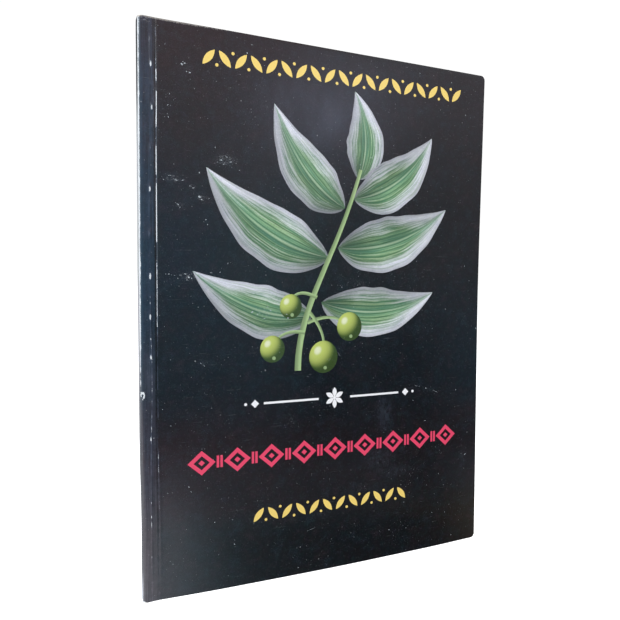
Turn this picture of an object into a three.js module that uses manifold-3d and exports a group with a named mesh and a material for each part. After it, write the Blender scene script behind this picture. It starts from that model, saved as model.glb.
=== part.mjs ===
// A5 softcover booklet, side-sewn and wrapped in a scored card cover, standing on its tail edge
// with both covers sprung slightly open.
// Millimetres, +Z up (the height of the pages), front cover facing -Y, spine on the -X side.
// The origin is the centre of the footprint, on the surface that the booklet stands on.
import * as THREE from "three";
import { mergeVertices } from "three/addons/utils/BufferGeometryUtils.js";
import Module from "manifold-3d";

// ---------------------------------------------------------------- driving dimensions (mm)
const WIDTH = 148; // A5 width, from the outside of the spine to the fore edge
const HEIGHT = 210; // A5 height
const CARD = 0.35; // cover card with its film
const CORNER = 2.0; // worn round corners at the fore edge
const SPINE_ROUND = 0.8; // outer bend where the card turns round the spine

const LEAVES = 28; // single leaves, 56 pages
const PAPER = 0.11; // one leaf
const PITCH = 0.13; // leaf to leaf at the bound edge
const LEAF_CORNER = 1.9;
const FAN = 0.4; // degrees, the outermost leaves spread this much either way

const SIDE_GLUE = 0.28; // adhesive under the hinge strips
const SPINE_GLUE = 0.22; // adhesive between the leaf edges and the spine
const GLUE_WIDTH = 5.3; // how far the side adhesive reaches from the spine

const SCORE = 5.7; // hinge score, from the outside of the spine
const SCORE_GAP = 0.25; // clear width of the score between strip and panel
const FRONT_AJAR = 3; // degrees the front cover stands off
const BACK_AJAR = 5; // degrees the back cover stands off

const SEW_X = 3.7; // sewing line, from the outside of the spine
const SEW_PITCH = 15; // stitch length
const SEW_COUNT = 13; // holes
const HOLE = 0.84; // pierced hole, square
const THREAD_W = 0.6; // thread, flattened by the cover
const THREAD_T = 0.2;
const THREAD_D = 0.42; // thread where it is round, inside the holes
const THREAD_LIFT = 0.04; // clear of the outermost leaf
const THREAD_END = 6; // run-out past the last hole

const rad = THREE.MathUtils.degToRad;

// ---------------------------------------------------------------- derived positions
const spineX = -WIDTH / 2;
const foreX = WIDTH / 2;
const scoreX = spineX + SCORE;
const sewX = spineX + SEW_X;
const leafX = spineX + CARD + 0.03 + SPINE_GLUE + 0.04; // bound edge of the leaves
const halfBlock = (LEAVES * PITCH - (PITCH - PAPER)) / 2; // 1.81
const glueIn = halfBlock + 0.05;
const glueOut = glueIn + SIDE_GLUE;
const cardIn = glueOut + 0.02;
const cardOut = cardIn + CARD;
const panel = foreX - scoreX; // hinge axis to fore edge

// The footprint runs from the fore edge of one cover to that of the other, so the block is set off
// sideways to put the origin in the middle.
const reach = (ajar) => cardOut + panel * Math.sin(rad(ajar));
const offsetY = (reach(FRONT_AJAR) - reach(BACK_AJAR)) / 2;

// ---------------------------------------------------------------- materials
const film = new THREE.MeshStandardMaterial({ color: 0x121215, roughness: 0.22, metalness: 0 });
const paper = new THREE.MeshStandardMaterial({ color: 0xece6d6, roughness: 0.85, metalness: 0 });
const glue = new THREE.MeshStandardMaterial({ color: 0xd9cfae, roughness: 0.5, metalness: 0 });
const cotton = new THREE.MeshStandardMaterial({ color: 0xe9e6dd, roughness: 0.9, metalness: 0 });

// ---------------------------------------------------------------- helpers
const wasm = await Module();
wasm.setup();

function toSolid(geometry) {
  const g = geometry.index ? geometry.toNonIndexed() : geometry.clone();
  g.deleteAttribute("normal");
  g.deleteAttribute("uv");
  const m = mergeVertices(g, 1e-4);
  return new wasm.Manifold(
    new wasm.Mesh({
      numProp: 3,
      vertProperties: m.attributes.position.array,
      triVerts: new Uint32Array(m.index.array),
    }),
  );
}

function toGeometry(solid) {
  const m = solid.getMesh();
  const n = m.numProp;
  const v = new Float32Array(m.numVert * 3);
  for (let i = 0; i < m.numVert; i++) v.set(m.vertProperties.subarray(i * n, i * n + 3), i * 3);
  const g = new THREE.BufferGeometry();
  g.setAttribute("position", new THREE.BufferAttribute(v, 3));
  g.setIndex(new THREE.BufferAttribute(new Uint32Array(m.triVerts), 1));
  return g;
}

// A sheet of the given width and height with round corners on its fore edge, standing in the XZ plane.
// It lies between y = 0 and y = thickness, and its bound edge is at x = start.
function sheet(start, end, height, thickness, corner, steps, holes = []) {
  const s = new THREE.Shape();
  s.moveTo(start, 0);
  for (let i = 0; i <= steps; i++) {
    const a = -Math.PI / 2 + (i / steps) * (Math.PI / 2);
    s.lineTo(end - corner + corner * Math.cos(a), corner + corner * Math.sin(a));
  }
  for (let i = 0; i <= steps; i++) {
    const a = (i / steps) * (Math.PI / 2);
    s.lineTo(end - corner + corner * Math.cos(a), height - corner + corner * Math.sin(a));
  }
  s.lineTo(start, height);
  s.closePath();
  for (const [x, z, size] of holes) {
    const h = new THREE.Path();
    const r = size / 2;
    h.moveTo(x - r, z - r);
    h.lineTo(x - r, z + r);
    h.lineTo(x + r, z + r);
    h.lineTo(x + r, z - r);
    h.closePath();
    s.holes.push(h);
  }
  const g = new THREE.ExtrudeGeometry(s, { depth: thickness, bevelEnabled: false, steps: 1, curveSegments: 1 });
  g.rotateX(Math.PI / 2); // shape's Y becomes Z, its depth runs along -Y
  g.translate(0, thickness, 0);
  return g;
}

// Appends a quarter round of n steps to a point list, from angle a0 to a1 about (cx, cy).
function arc(points, cx, cy, r, a0, a1, n) {
  for (let i = 0; i <= n; i++) {
    const a = a0 + ((a1 - a0) * i) / n;
    points.push(new THREE.Vector2(cx + r * Math.cos(a), cy + r * Math.sin(a)));
  }
}

function upright(points, height, z0 = 0) {
  const g = new THREE.ExtrudeGeometry(new THREE.Shape(points), {
    depth: height,
    bevelEnabled: false,
    steps: 1,
    curveSegments: 1,
  });
  g.translate(0, 0, z0);
  return g;
}

function add(group, name, geometry, material) {
  const mesh = new THREE.Mesh(geometry, material);
  mesh.name = name;
  group.add(mesh);
  return mesh;
}

const booklet = new THREE.Group();
const block = new THREE.Group(); // everything that the sewing and the adhesive hold together
block.position.y = offsetY;
booklet.add(block);

// ---------------------------------------------------------------- cover: spine and the two hinge strips, one folded card
{
  const stripEnd = scoreX - SCORE_GAP / 2;
  const R = SPINE_ROUND;
  const r = R - CARD;
  const p = [];
  p.push(new THREE.Vector2(stripEnd, -cardOut));
  p.push(new THREE.Vector2(stripEnd, -cardIn));
  arc(p, spineX + CARD + r, -cardIn + r, r, -Math.PI / 2, -Math.PI, 4);
  arc(p, spineX + CARD + r, cardIn - r, r, Math.PI, Math.PI / 2, 4);
  p.push(new THREE.Vector2(stripEnd, cardIn));
  p.push(new THREE.Vector2(stripEnd, cardOut));
  arc(p, spineX + R, cardOut - R, R, Math.PI / 2, Math.PI, 5);
  arc(p, spineX + R, -cardOut + R, R, Math.PI, 1.5 * Math.PI, 5);
  add(block, "spine_wrap", upright(p, HEIGHT), film);
}

// ---------------------------------------------------------------- cover: the two panels, each turning about its score
{
  const front = new THREE.Group();
  front.position.set(scoreX, -cardOut, 0);
  front.rotation.z = -rad(FRONT_AJAR);
  add(front, "front_cover", sheet(SCORE_GAP / 2, panel, HEIGHT, CARD, CORNER, 5), film);
  block.add(front);

  const back = new THREE.Group();
  back.position.set(scoreX, cardOut, 0);
  back.rotation.z = rad(BACK_AJAR);
  const g = sheet(SCORE_GAP / 2, panel, HEIGHT, CARD, CORNER, 5);
  g.translate(0, -CARD, 0);
  add(back, "back_cover", g, film);
  block.add(back);
}

// ---------------------------------------------------------------- sewing: a front and a back thread that lock inside the block
const holeZ = Array.from({ length: SEW_COUNT }, (_, k) => SEW_PITCH * (k + 1));

function octagon(w, t) {
  const c = 0.29;
  return [
    [-w / 2, -t * (0.5 - c)], [-w * (0.5 - c), -t / 2], [w * (0.5 - c), -t / 2], [w / 2, -t * (0.5 - c)],
    [w / 2, t * (0.5 - c)], [w * (0.5 - c), t / 2], [-w * (0.5 - c), t / 2], [-w / 2, t * (0.5 - c)],
  ].map(([x, y]) => new THREE.Vector2(x, y));
}

// side is -1 for the front thread and +1 for the back one
function thread(side) {
  const axis = halfBlock + THREAD_LIFT + THREAD_T / 2; // of the run, from the middle of the block
  const run = upright(octagon(THREAD_W, THREAD_T), HEIGHT - 2 * (SEW_PITCH - THREAD_END), SEW_PITCH - THREAD_END);
  run.translate(0, side * axis, 0);
  let solid = toSolid(run);
  for (const z of holeZ) {
    const leg = upright(octagon(THREAD_D, THREAD_D), axis - 0.12);
    leg.rotateX(Math.PI / 2); // runs along -Y
    if (side > 0) leg.translate(0, axis, 0);
    else leg.translate(0, -0.12, 0);
    leg.translate(0, 0, z);
    solid = solid.add(toSolid(leg));
  }
  const g = toGeometry(solid);
  g.translate(sewX, 0, 0);
  return g;
}
add(block, "front_sewing_thread", thread(-1), cotton);
add(block, "back_sewing_thread", thread(1), cotton);

// ---------------------------------------------------------------- adhesive: one U round the bound edge, with channels for the threads
{
  const end = spineX + GLUE_WIDTH;
  const xo = spineX + CARD + 0.03;
  const xi = xo + SPINE_GLUE;
  const r = SPINE_ROUND - CARD - 0.03;
  const p = [];
  p.push(new THREE.Vector2(end, -glueOut));
  p.push(new THREE.Vector2(end, -glueIn));
  p.push(new THREE.Vector2(xi, -glueIn));
  p.push(new THREE.Vector2(xi, glueIn));
  p.push(new THREE.Vector2(end, glueIn));
  p.push(new THREE.Vector2(end, glueOut));
  arc(p, xo + r, glueOut - r, r, Math.PI / 2, Math.PI, 4);
  arc(p, xo + r, -glueOut + r, r, Math.PI, 1.5 * Math.PI, 4);
  let solid = toSolid(upright(p, HEIGHT));
  for (const side of [-1, 1]) {
    const depth = THREAD_LIFT + THREAD_T + 0.04 - 0.05; // leaves a thin skin over the thread
    const channel = new THREE.BoxGeometry(THREAD_W + 0.14, depth + 0.2, HEIGHT - 2 * (SEW_PITCH - THREAD_END) + 0.6);
    channel.translate(sewX, side * (glueIn + depth - (depth + 0.2) / 2), HEIGHT / 2);
    solid = solid.subtract(toSolid(channel));
  }
  add(block, "spine_adhesive", toGeometry(solid), glue);
}

// ---------------------------------------------------------------- leaves, pierced for the thread, spreading a little to the fore edge
{
  const length = foreX - leafX;
  const holes = holeZ.map((z) => [sewX - leafX, z, HOLE]);
  const geometry = sheet(0, length, HEIGHT, PAPER, LEAF_CORNER, 3, holes);
  for (let i = 0; i < LEAVES; i++) {
    const share = (i - (LEAVES - 1) / 2) / ((LEAVES - 1) / 2); // -1 at the front, +1 at the back
    const leaf = add(block, `leaf_${String(i + 1).padStart(2, "0")}`, geometry, paper);
    leaf.position.set(leafX, -halfBlock + i * PITCH, 0);
    leaf.rotation.z = rad(FAN) * share;
  }
}

export default booklet;
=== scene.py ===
"""Softcover booklet: the looks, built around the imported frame. Lengths below are in millimetres until a mesh is made."""

import math

import bpy
import numpy as np
from mathutils import Euler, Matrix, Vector
from mathutils.geometry import delaunay_2d_cdt


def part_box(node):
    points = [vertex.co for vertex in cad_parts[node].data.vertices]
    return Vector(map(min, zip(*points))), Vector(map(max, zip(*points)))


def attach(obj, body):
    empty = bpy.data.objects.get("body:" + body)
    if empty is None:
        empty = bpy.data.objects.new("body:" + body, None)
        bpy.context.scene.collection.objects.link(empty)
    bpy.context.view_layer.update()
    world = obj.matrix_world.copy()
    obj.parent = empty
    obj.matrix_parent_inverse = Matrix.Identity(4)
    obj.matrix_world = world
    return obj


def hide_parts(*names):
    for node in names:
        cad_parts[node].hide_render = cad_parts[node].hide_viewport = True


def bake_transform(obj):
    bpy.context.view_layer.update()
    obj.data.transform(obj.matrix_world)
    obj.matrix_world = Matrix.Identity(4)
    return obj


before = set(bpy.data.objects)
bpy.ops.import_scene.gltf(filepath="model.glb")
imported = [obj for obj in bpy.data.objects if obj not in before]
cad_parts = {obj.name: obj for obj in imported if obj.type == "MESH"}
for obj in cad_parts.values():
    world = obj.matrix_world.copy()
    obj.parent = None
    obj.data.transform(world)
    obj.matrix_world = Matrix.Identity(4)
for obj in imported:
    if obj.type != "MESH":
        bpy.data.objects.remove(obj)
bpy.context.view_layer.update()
MM = 0.001

# ------------------------------------------------------------------ sizes, which repeat those of the CAD model
W, H = 148.0, 210.0
SPINE_X = -W / 2
SCORE = 5.7
CARD = 0.35
BEND = 0.8  # outer bend of the card at the spine
SEW_X = 3.7
SEW_PITCH = 15.0
FRONT_AJAR, BACK_AJAR = 3.0, 5.0
SPINE_BOW = 0.29  # the spine bulges outwards at half height
LEAVES, PAPER, PITCH, FAN = 28, 0.11, 0.13, 0.4
LEAF_X = SPINE_X + CARD + 0.03 + 0.22 + 0.04
CORNER, LEAF_CORNER = 2.0, 1.9

lo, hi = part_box("spine_wrap")
YC = (lo.y + hi.y) / 2 / MM  # middle plane of the block
OUT = (hi.y - lo.y) / 2 / MM  # middle plane to the outer face of the card
SCORE_X = SPINE_X + SCORE
PANEL = W - SCORE
S_FLAT = OUT - BEND  # unrolled sheet: half the flat spine, the bend, the hinge strip, the panel
S_BEND = S_FLAT + BEND * math.pi / 2
S_SCORE = S_BEND + SCORE - BEND
S_SEW = S_SCORE - (SCORE - SEW_X) + 0.25
S_END = S_SCORE + PANEL

rng = np.random.default_rng(4175)


# ------------------------------------------------------------------ small helpers
def smooth(a, b, x):
    t = np.clip((np.asarray(x, float) - a) / (b - a), 0, 1)
    return t * t * (3 - 2 * t)


def bell(x, width):
    return np.exp(-((np.asarray(x, float) / width) ** 2))


def waves(seed, short, long, count=14):
    """A smooth field over the plane, about -1 to 1, with wavelengths from short to long."""
    r = np.random.default_rng(seed)
    k = 2 * math.pi / np.exp(r.uniform(math.log(short), math.log(long), count))
    a = r.uniform(0, 2 * math.pi, count)
    p = r.uniform(0, 2 * math.pi, count)
    weight = (1 / k) ** 0.7
    weight /= math.sqrt((weight**2).sum() / 2)

    def field(x, y):
        x, y = np.asarray(x, float), np.asarray(y, float)
        v = np.zeros(np.broadcast(x, y).shape)
        for i in range(count):
            v = v + weight[i] * np.sin(k[i] * (x * math.cos(a[i]) + y * math.sin(a[i])) + p[i])
        return v * 0.5

    return field


def triangulate(loops, points):
    """Triangles of the first loop, with all the loops and points as corners. Also each triangle's topmost loop."""
    pts, faces = [], []
    for loop in loops:
        x, y = np.asarray(loop, float).T
        if (x * np.roll(y, -1) - y * np.roll(x, -1)).sum() < 0:  # a clockwise loop would count as its own outside
            loop = loop[::-1]
        base = len(pts)
        pts.extend(loop)
        faces.append(list(range(base, base + len(loop))))
    pts.extend(points)
    v, _, f, _, _, of = delaunay_2d_cdt([Vector((float(a), float(b))) for a, b in pts], [], faces, 1, 1e-5, True)
    v = np.array([(p.x, p.y) for p in v])
    tris, top = [], []
    for face, ids in zip(f, of):
        if 0 in ids:
            a, b, c = (v[i] for i in face)
            if (b[0] - a[0]) * (c[1] - a[1]) - (b[1] - a[1]) * (c[0] - a[0]) < 0:
                face = face[::-1]
            tris.append(face)
            top.append(max(ids))
    return v, np.array(tris), np.array(top)


def rims(tris):
    """The directed edges that only one triangle uses."""
    e = np.concatenate([tris[:, [0, 1]], tris[:, [1, 2]], tris[:, [2, 0]]])
    key = {(int(a), int(b)) for a, b in e}
    return [(a, b) for a, b in key if (b, a) not in key]


def new_object(name, verts, faces, materials, slots=None, sharp=32):
    me = bpy.data.meshes.new(name)
    me.from_pydata([tuple(p) for p in np.asarray(verts) * MM], [], [tuple(int(i) for i in f) for f in faces])
    for m in materials:
        me.materials.append(m)
    if slots is not None:
        me.polygons.foreach_set("material_index", np.asarray(slots, np.int32))
    me.polygons.foreach_set("use_smooth", np.ones(len(me.polygons), bool))
    me.set_sharp_from_angle(angle=math.radians(sharp))
    me.update()
    ob = bpy.data.objects.new(name, me)
    bpy.context.scene.collection.objects.link(ob)
    return ob


def corner_map(ob, name, values):
    """A UV map from one pair of numbers for each vertex."""
    me = ob.data
    uv = me.uv_layers.new(name=name)
    idx = np.empty(len(me.loops), np.int32)
    me.loops.foreach_get("vertex_index", idx)
    uv.data.foreach_set("uv", np.asarray(values, np.float32)[idx].ravel())
    return uv


def point_value(ob, name, values):
    a = ob.data.attributes.new(name, "FLOAT", "POINT")
    a.data.foreach_set("value", np.asarray(values, np.float32))


# ------------------------------------------------------------------ node helpers
class Graph:
    def __init__(self, tree):
        self.tree = tree

    def node(self, kind, **props):
        n = self.tree.nodes.new(kind)
        for k, v in props.items():
            setattr(n, k, v)
        return n

    def put(self, socket, value):
        if value is None:
            return
        if isinstance(value, bpy.types.NodeSocket):
            self.tree.links.new(value, socket)
        else:
            socket.default_value = value

    def math(self, op, a, b=None, c=None, clamp=False):
        n = self.node("ShaderNodeMath", operation=op, use_clamp=clamp)
        for s, v in zip(n.inputs, (a, b, c)):
            self.put(s, v)
        return n.outputs[0]

    def step(self, x, a, b, lo=0.0, hi=1.0):
        n = self.node("ShaderNodeMapRange", interpolation_type="SMOOTHSTEP")
        for s, v in zip(n.inputs, (x, a, b, lo, hi)):
            self.put(s, v)
        return n.outputs[0]

    def mix(self, factor, a, b, blend="MIX"):
        n = self.node("ShaderNodeMix", data_type="RGBA", blend_type=blend, clamp_factor=True)
        self.put(n.inputs[0], factor)
        self.put(n.inputs[6], a)
        self.put(n.inputs[7], b)
        return n.outputs[2]

    def fmix(self, factor, a, b):
        n = self.node("ShaderNodeMix", data_type="FLOAT", clamp_factor=True)
        self.put(n.inputs[0], factor)
        self.put(n.inputs[2], a)
        self.put(n.inputs[3], b)
        return n.outputs[0]

    def uv(self, name):
        return self.node("ShaderNodeUVMap", uv_map=name).outputs[0]

    def attribute(self, name):
        return self.node("ShaderNodeAttribute", attribute_name=name).outputs["Fac"]

    def split(self, vector):
        n = self.node("ShaderNodeSeparateXYZ")
        self.put(n.inputs[0], vector)
        return n.outputs

    def join(self, x, y, z=0.0):
        n = self.node("ShaderNodeCombineXYZ")
        for s, v in zip(n.inputs, (x, y, z)):
            self.put(s, v)
        return n.outputs[0]

    def map(self, vector, scale=(1, 1, 1), turn=0.0, shift=(0, 0, 0)):
        n = self.node("ShaderNodeMapping")
        self.put(n.inputs[0], vector)
        n.inputs["Location"].default_value = shift
        n.inputs["Rotation"].default_value = (0, 0, turn)
        n.inputs["Scale"].default_value = scale
        return n.outputs[0]

    def noise(self, vector, scale, detail=2.0, rough=0.5, colour=False):
        n = self.node("ShaderNodeTexNoise")
        self.put(n.inputs["Vector"], vector)
        n.inputs["Scale"].default_value = scale
        n.inputs["Detail"].default_value = detail
        n.inputs["Roughness"].default_value = rough
        return n.outputs["Color" if colour else "Fac"]

    def cells(self, vector, scale):
        n = self.node("ShaderNodeTexVoronoi", feature="F1")
        self.put(n.inputs["Vector"], vector)
        n.inputs["Scale"].default_value = scale
        return n.outputs["Distance"], n.outputs["Color"]

    def bump(self, height, strength, distance, normal=None):
        n = self.node("ShaderNodeBump")
        n.inputs["Strength"].default_value = strength
        n.inputs["Distance"].default_value = distance
        self.put(n.inputs["Height"], height)
        self.put(n.inputs["Normal"], normal)
        return n.outputs[0]


def material(name):
    m = bpy.data.materials.new(name)
    m.use_nodes = True
    m.node_tree.nodes.clear()
    g = Graph(m.node_tree)
    out = g.node("ShaderNodeOutputMaterial")
    p = g.node("ShaderNodeBsdfPrincipled")
    g.put(out.inputs["Surface"], p.outputs[0])
    return m, g, p


def linear(r, g, b):
    """An sRGB colour, 0 to 255, as the numbers a socket takes."""
    f = lambda c: c / 12.92 if c <= 0.04045 else ((c + 0.055) / 1.055) ** 2.4
    return (f(r / 255), f(g / 255), f(b / 255), 1.0)


# ------------------------------------------------------------------ glossy film: the same scuffs, scratches, ripple and painted reflections over the black and over every ink
def film_group():
    tree = bpy.data.node_groups.new("GlossFilm", "ShaderNodeTree")
    face = tree.interface
    face.new_socket("Ink", in_out="INPUT", socket_type="NodeSocketColor")
    face.new_socket("Color", in_out="OUTPUT", socket_type="NodeSocketColor")
    face.new_socket("Roughness", in_out="OUTPUT", socket_type="NodeSocketFloat")
    face.new_socket("Normal", in_out="OUTPUT", socket_type="NodeSocketVector")
    g = Graph(tree)
    ink = g.node("NodeGroupInput").outputs["Ink"]
    out = g.node("NodeGroupOutput")
    uv = g.uv("sheet")  # millimetres on the unrolled card

    # specks: one small dot in some cells of a grid, in loose clusters
    cluster = g.step(g.noise(g.map(uv, shift=(13, 5, 0)), 0.045, 2.0), 0.40, 0.66, 0.05, 0.42)

    scuffed = g.attribute("w_scuff")

    def specks(scale, shift, most, share):
        dist, col = g.cells(g.map(uv, shift=(shift, shift * 0.6, 0)), scale)
        pick = g.split(col)
        size = g.math("MULTIPLY", g.math("POWER", pick[1], g.math("MULTIPLY_ADD", scuffed, -1.7, 3.0)), most)
        dot = g.math("SUBTRACT", 1.0, g.step(dist, g.math("MULTIPLY", size, 0.3), size), clamp=True)
        chosen = g.math("LESS_THAN", pick[0], g.math("MULTIPLY_ADD", cluster, share, g.math("MULTIPLY", scuffed, 0.8)))
        return g.math("MULTIPLY", g.math("MULTIPLY", dot, chosen), g.math("MULTIPLY_ADD", pick[2], 0.7, 0.3))

    dots = g.math("MAXIMUM", specks(0.62, 0.0, 0.26, 0.9), specks(1.9, 3.3, 0.42, 0.75))
    dots = g.math("MAXIMUM", dots, g.math("MULTIPLY", specks(4.3, 8.1, 0.60, 0.5), 0.45))
    torn = g.step(g.noise(g.map(uv, scale=(0.7, 1.5, 1), shift=(3, 60, 0)), 1.5, 4.0, 0.75), 0.52, 0.64)
    torn = g.math("MULTIPLY", torn, g.step(scuffed, 0.18, 0.60))

    # hairline scratches in three directions
    lines = None
    for turn, shift, cut in ((0.35, 11.0, 0.70), (-0.9, 47.0, 0.71), (1.45, 83.0, 0.69)):
        n = g.noise(g.map(uv, scale=(0.05, 2.6, 1), turn=turn, shift=(shift, shift * 0.7, 0)), 1.0, 2.0, 0.6)
        line = g.step(n, cut, cut + 0.05)
        lines = line if lines is None else g.math("MAXIMUM", lines, line)
    broken = g.step(g.noise(g.map(uv, shift=(5, 90, 0)), 0.22, 2.0), 0.45, 0.62)
    lines = g.math("MULTIPLY", lines, broken)

    # wear where the card is bent, sewn and cut, with a painted highlight along the spine bend
    fine = g.noise(uv, 2.6, 4.0, 0.65)
    along = g.noise(g.map(uv, scale=(3.0, 0.45, 1)), 1.0, 3.0, 0.6)
    ragged = g.math("MULTIPLY_ADD", g.math("SUBTRACT", fine, 0.5), 0.9, g.math("MULTIPLY", g.math("SUBTRACT", along, 0.5), 0.8))

    def worn(name, spread):
        return g.step(g.math("MULTIPLY_ADD", ragged, spread, g.attribute(name)), 0.40, 0.62)

    spine = worn("w_spine_wear_and_highlight", 0.80)
    score = worn("w_score", 0.75)
    sew = worn("w_sew", 0.6)
    edge = worn("w_edge", 1.3)
    white = g.math("MAXIMUM", g.math("MULTIPLY", spine, 1.0), g.math("MULTIPLY", edge, 0.42))
    white = g.math("MAXIMUM", white, g.math("MAXIMUM", g.math("MULTIPLY", score, 0.98), g.math("MULTIPLY", sew, 0.95)))
    white = g.math("MAXIMUM", white, g.math("MULTIPLY", dots, g.math("MULTIPLY_ADD", scuffed, 0.35, 0.25)))
    white = g.math("MAXIMUM", white, g.math("MULTIPLY", torn, g.math("MULTIPLY_ADD", fine, 1.1, -0.30)))
    white = g.math("MAXIMUM", white, g.math("MULTIPLY", lines, 0.045), clamp=True)
    # a faint grey bloom: film rubbed dull by handling, together with painted reflection where the haze mask carries it
    rub = g.step(g.noise(g.map(uv, shift=(31, 2, 0)), 0.085, 5.0, 0.7), 0.38, 0.80)
    streaks = g.noise(g.map(uv, scale=(1.1, 0.06, 1)), 1.0, 4.0, 0.6)
    mottle = g.noise(uv, 1.15, 3.0, 0.7)
    cloudy = g.step(g.noise(g.map(uv, scale=(1, 0.6, 1), shift=(70, 9, 0)), 0.55, 5.0, 0.72), 0.34, 0.68, 0.15, 1.5)
    along_x, along_z, _ = g.split(uv)
    strip = g.math("MULTIPLY", g.step(along_x, -5.6, -4.6), g.step(along_x, -0.30, -1.15))
    runs = g.step(g.noise(g.map(uv, scale=(1.7, 0.045, 1), shift=(9, 33, 0)), 1.0, 3.0, 0.65), 0.33, 0.67, 0.5, 1.45)
    cloudy = g.fmix(g.math("MULTIPLY", strip, 0.72), cloudy, runs)
    haze_and_reflection = g.math("MULTIPLY", g.math("MULTIPLY", g.attribute("w_haze_and_reflection"), cloudy), g.math("ADD", g.step(streaks, 0.3, 0.7, 0.55, 1.1), g.math("MULTIPLY", mottle, 0.25)))
    bloom_and_sheen = g.math("MULTIPLY_ADD", rub, 0.005, g.math("MULTIPLY", haze_and_reflection, 0.055))
    # a thin light line along the sewing and the score, where the film isn't broken: dulled film, with a painted
    # highlight of the lips along the score
    thin_dull_and_highlight = g.math("MAXIMUM", g.step(g.attribute("w_sew"), 0.12, 0.48), g.math("MULTIPLY", g.step(g.attribute("w_score"), 0.08, 0.45), 0.9))
    bloom_and_sheen = g.math("MULTIPLY_ADD", g.math("MULTIPLY", thin_dull_and_highlight, g.math("MULTIPLY_ADD", fine, 0.9, 0.35)), 0.17, bloom_and_sheen)
    bloom_and_sheen = g.math("MULTIPLY_ADD", g.step(mottle, 0.35, 0.8), 0.004, bloom_and_sheen)
    blotch = g.noise(g.map(uv, shift=(44, 17, 0)), 0.16, 4.0, 0.7)
    veil = g.mix(g.step(blotch, 0.36, 0.62), linear(204, 160, 178), linear(140, 188, 222))
    # the bloom's colour is a painted reflection: bluish above, greyer and warmer towards the tail
    hazy_and_reflected = g.mix(bloom_and_sheen, ink, g.mix(g.step(along_z, 62, 18), linear(164, 184, 222), linear(190, 180, 198)))
    hazy_and_reflected = g.mix(g.math("MULTIPLY", g.math("ABSOLUTE", g.math("SUBTRACT", blotch, 0.49)), 0.065), hazy_and_reflected, veil)
    hue = g.noise(g.map(uv, shift=(3, 71, 0)), 0.42, 4.0, 0.7)
    tinted = g.mix(g.step(hue, 0.40, 0.60), linear(176, 150, 214), linear(120, 190, 186))
    hazy_and_reflected = g.mix(g.math("MULTIPLY", g.math("ABSOLUTE", g.math("SUBTRACT", hue, 0.49)), 0.055), hazy_and_reflected, tinted)
    dust = g.step(g.noise(g.map(uv, shift=(21, 64, 0)), 1.9, 3.0, 0.75), 0.45, 0.68)
    dust = g.math("MULTIPLY", dust, g.step(g.noise(g.map(uv, shift=(61, 4, 0)), 0.9, 3.0, 0.7), 0.30, 0.70, 0.35, 1.3))
    hazy_and_reflected = g.mix(g.math("MULTIPLY", dust, 0.0115), hazy_and_reflected, linear(226, 232, 240))
    # the hinge strip carries a painted bluish reflection, lighter towards the spine and greyer towards the tail,
    # mottled like rubbed film
    hinge_sheen = g.math("MULTIPLY", strip, g.step(along_z, 206, 190, 0.5, 1.0))
    hinge_sheen = g.math("MULTIPLY", hinge_sheen, g.step(along_x, -5.2, -3.7, 1.6, 0.9))
    hinge_sheen = g.math("MULTIPLY", hinge_sheen, g.math("MULTIPLY", g.step(cloudy, 0.15, 1.5, 0.55, 1.4), g.step(mottle, 0.25, 0.75, 0.82, 1.15)))
    hinge_reflection_tint = g.mix(g.step(along_z, 110, 78), (0.05, 0.46, 1.0, 1), (0.58, 0.64, 0.94, 1))
    hinge_reflection_tint = g.mix(g.step(along_z, 44, 22), hinge_reflection_tint, (0.78, 0.60, 0.66, 1))
    hazy_and_reflected = g.mix(g.math("MULTIPLY", hinge_sheen, 0.021), hazy_and_reflected, hinge_reflection_tint)
    # painted reflection along the spine bend: a bluish band, greyer towards the tail
    fringe = g.math("MULTIPLY", g.math("POWER", g.step(along_x, -5.55, -3.9, 1.0, 0.0), 2.0), g.step(along_x, -6.7, -6.1))
    fringe = g.math("MULTIPLY", fringe, g.math("MULTIPLY_ADD", ragged, 0.9, 1.0), clamp=True)
    hazy_and_reflected = g.mix(g.math("MULTIPLY", fringe, 0.10), hazy_and_reflected, g.mix(g.step(along_z, 90, 50), (0.36, 0.58, 0.78, 1), (0.72, 0.70, 0.76, 1)))
    paper = g.mix(fine, linear(212, 220, 228), linear(242, 246, 250))
    paper = g.mix(edge, paper, g.mix(fine, linear(150, 142, 134), linear(214, 208, 200)))
    g.put(out.inputs["Color"], g.mix(white, hazy_and_reflected, paper))

    smear = g.noise(g.map(uv, scale=(1, 0.45, 1), turn=0.5), 0.06, 4.0, 0.6)
    rough = g.step(smear, 0.35, 0.75, 0.15, 0.23)
    rough = g.math("MULTIPLY_ADD", haze_and_reflection, 0.10, rough)
    rough = g.math("ADD", rough, g.math("MULTIPLY", lines, 0.12))
    g.put(out.inputs["Roughness"], g.fmix(white, rough, 0.55))

    peel = g.noise(uv, 0.85, 2.0, 0.5)
    ripple = g.noise(g.map(uv, scale=(1.0, 0.3, 1)), 0.11, 2.0, 0.5)
    height = g.math("MULTIPLY_ADD", peel, 0.12, g.math("MULTIPLY", ripple, 1.4))
    height = g.math("MULTIPLY_ADD", lines, -0.06, height)
    height = g.math("MULTIPLY_ADD", white, -0.10, height)
    height = g.math("MULTIPLY_ADD", g.math("MULTIPLY", fine, white), 0.35, height)
    g.put(out.inputs["Normal"], g.bump(height, 0.35, 0.00012))
    return tree


FILM = film_group()


def film_over(g, p, ink):
    n = g.node("ShaderNodeGroup", node_tree=FILM)
    g.put(n.inputs["Ink"], ink)
    g.put(p.inputs["Base Color"], n.outputs["Color"])
    g.put(p.inputs["Roughness"], n.outputs["Roughness"])
    g.put(p.inputs["Normal"], n.outputs["Normal"])
    p.inputs["Specular IOR Level"].default_value = 0.5
    p.inputs["IOR"].default_value = 1.47


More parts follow.
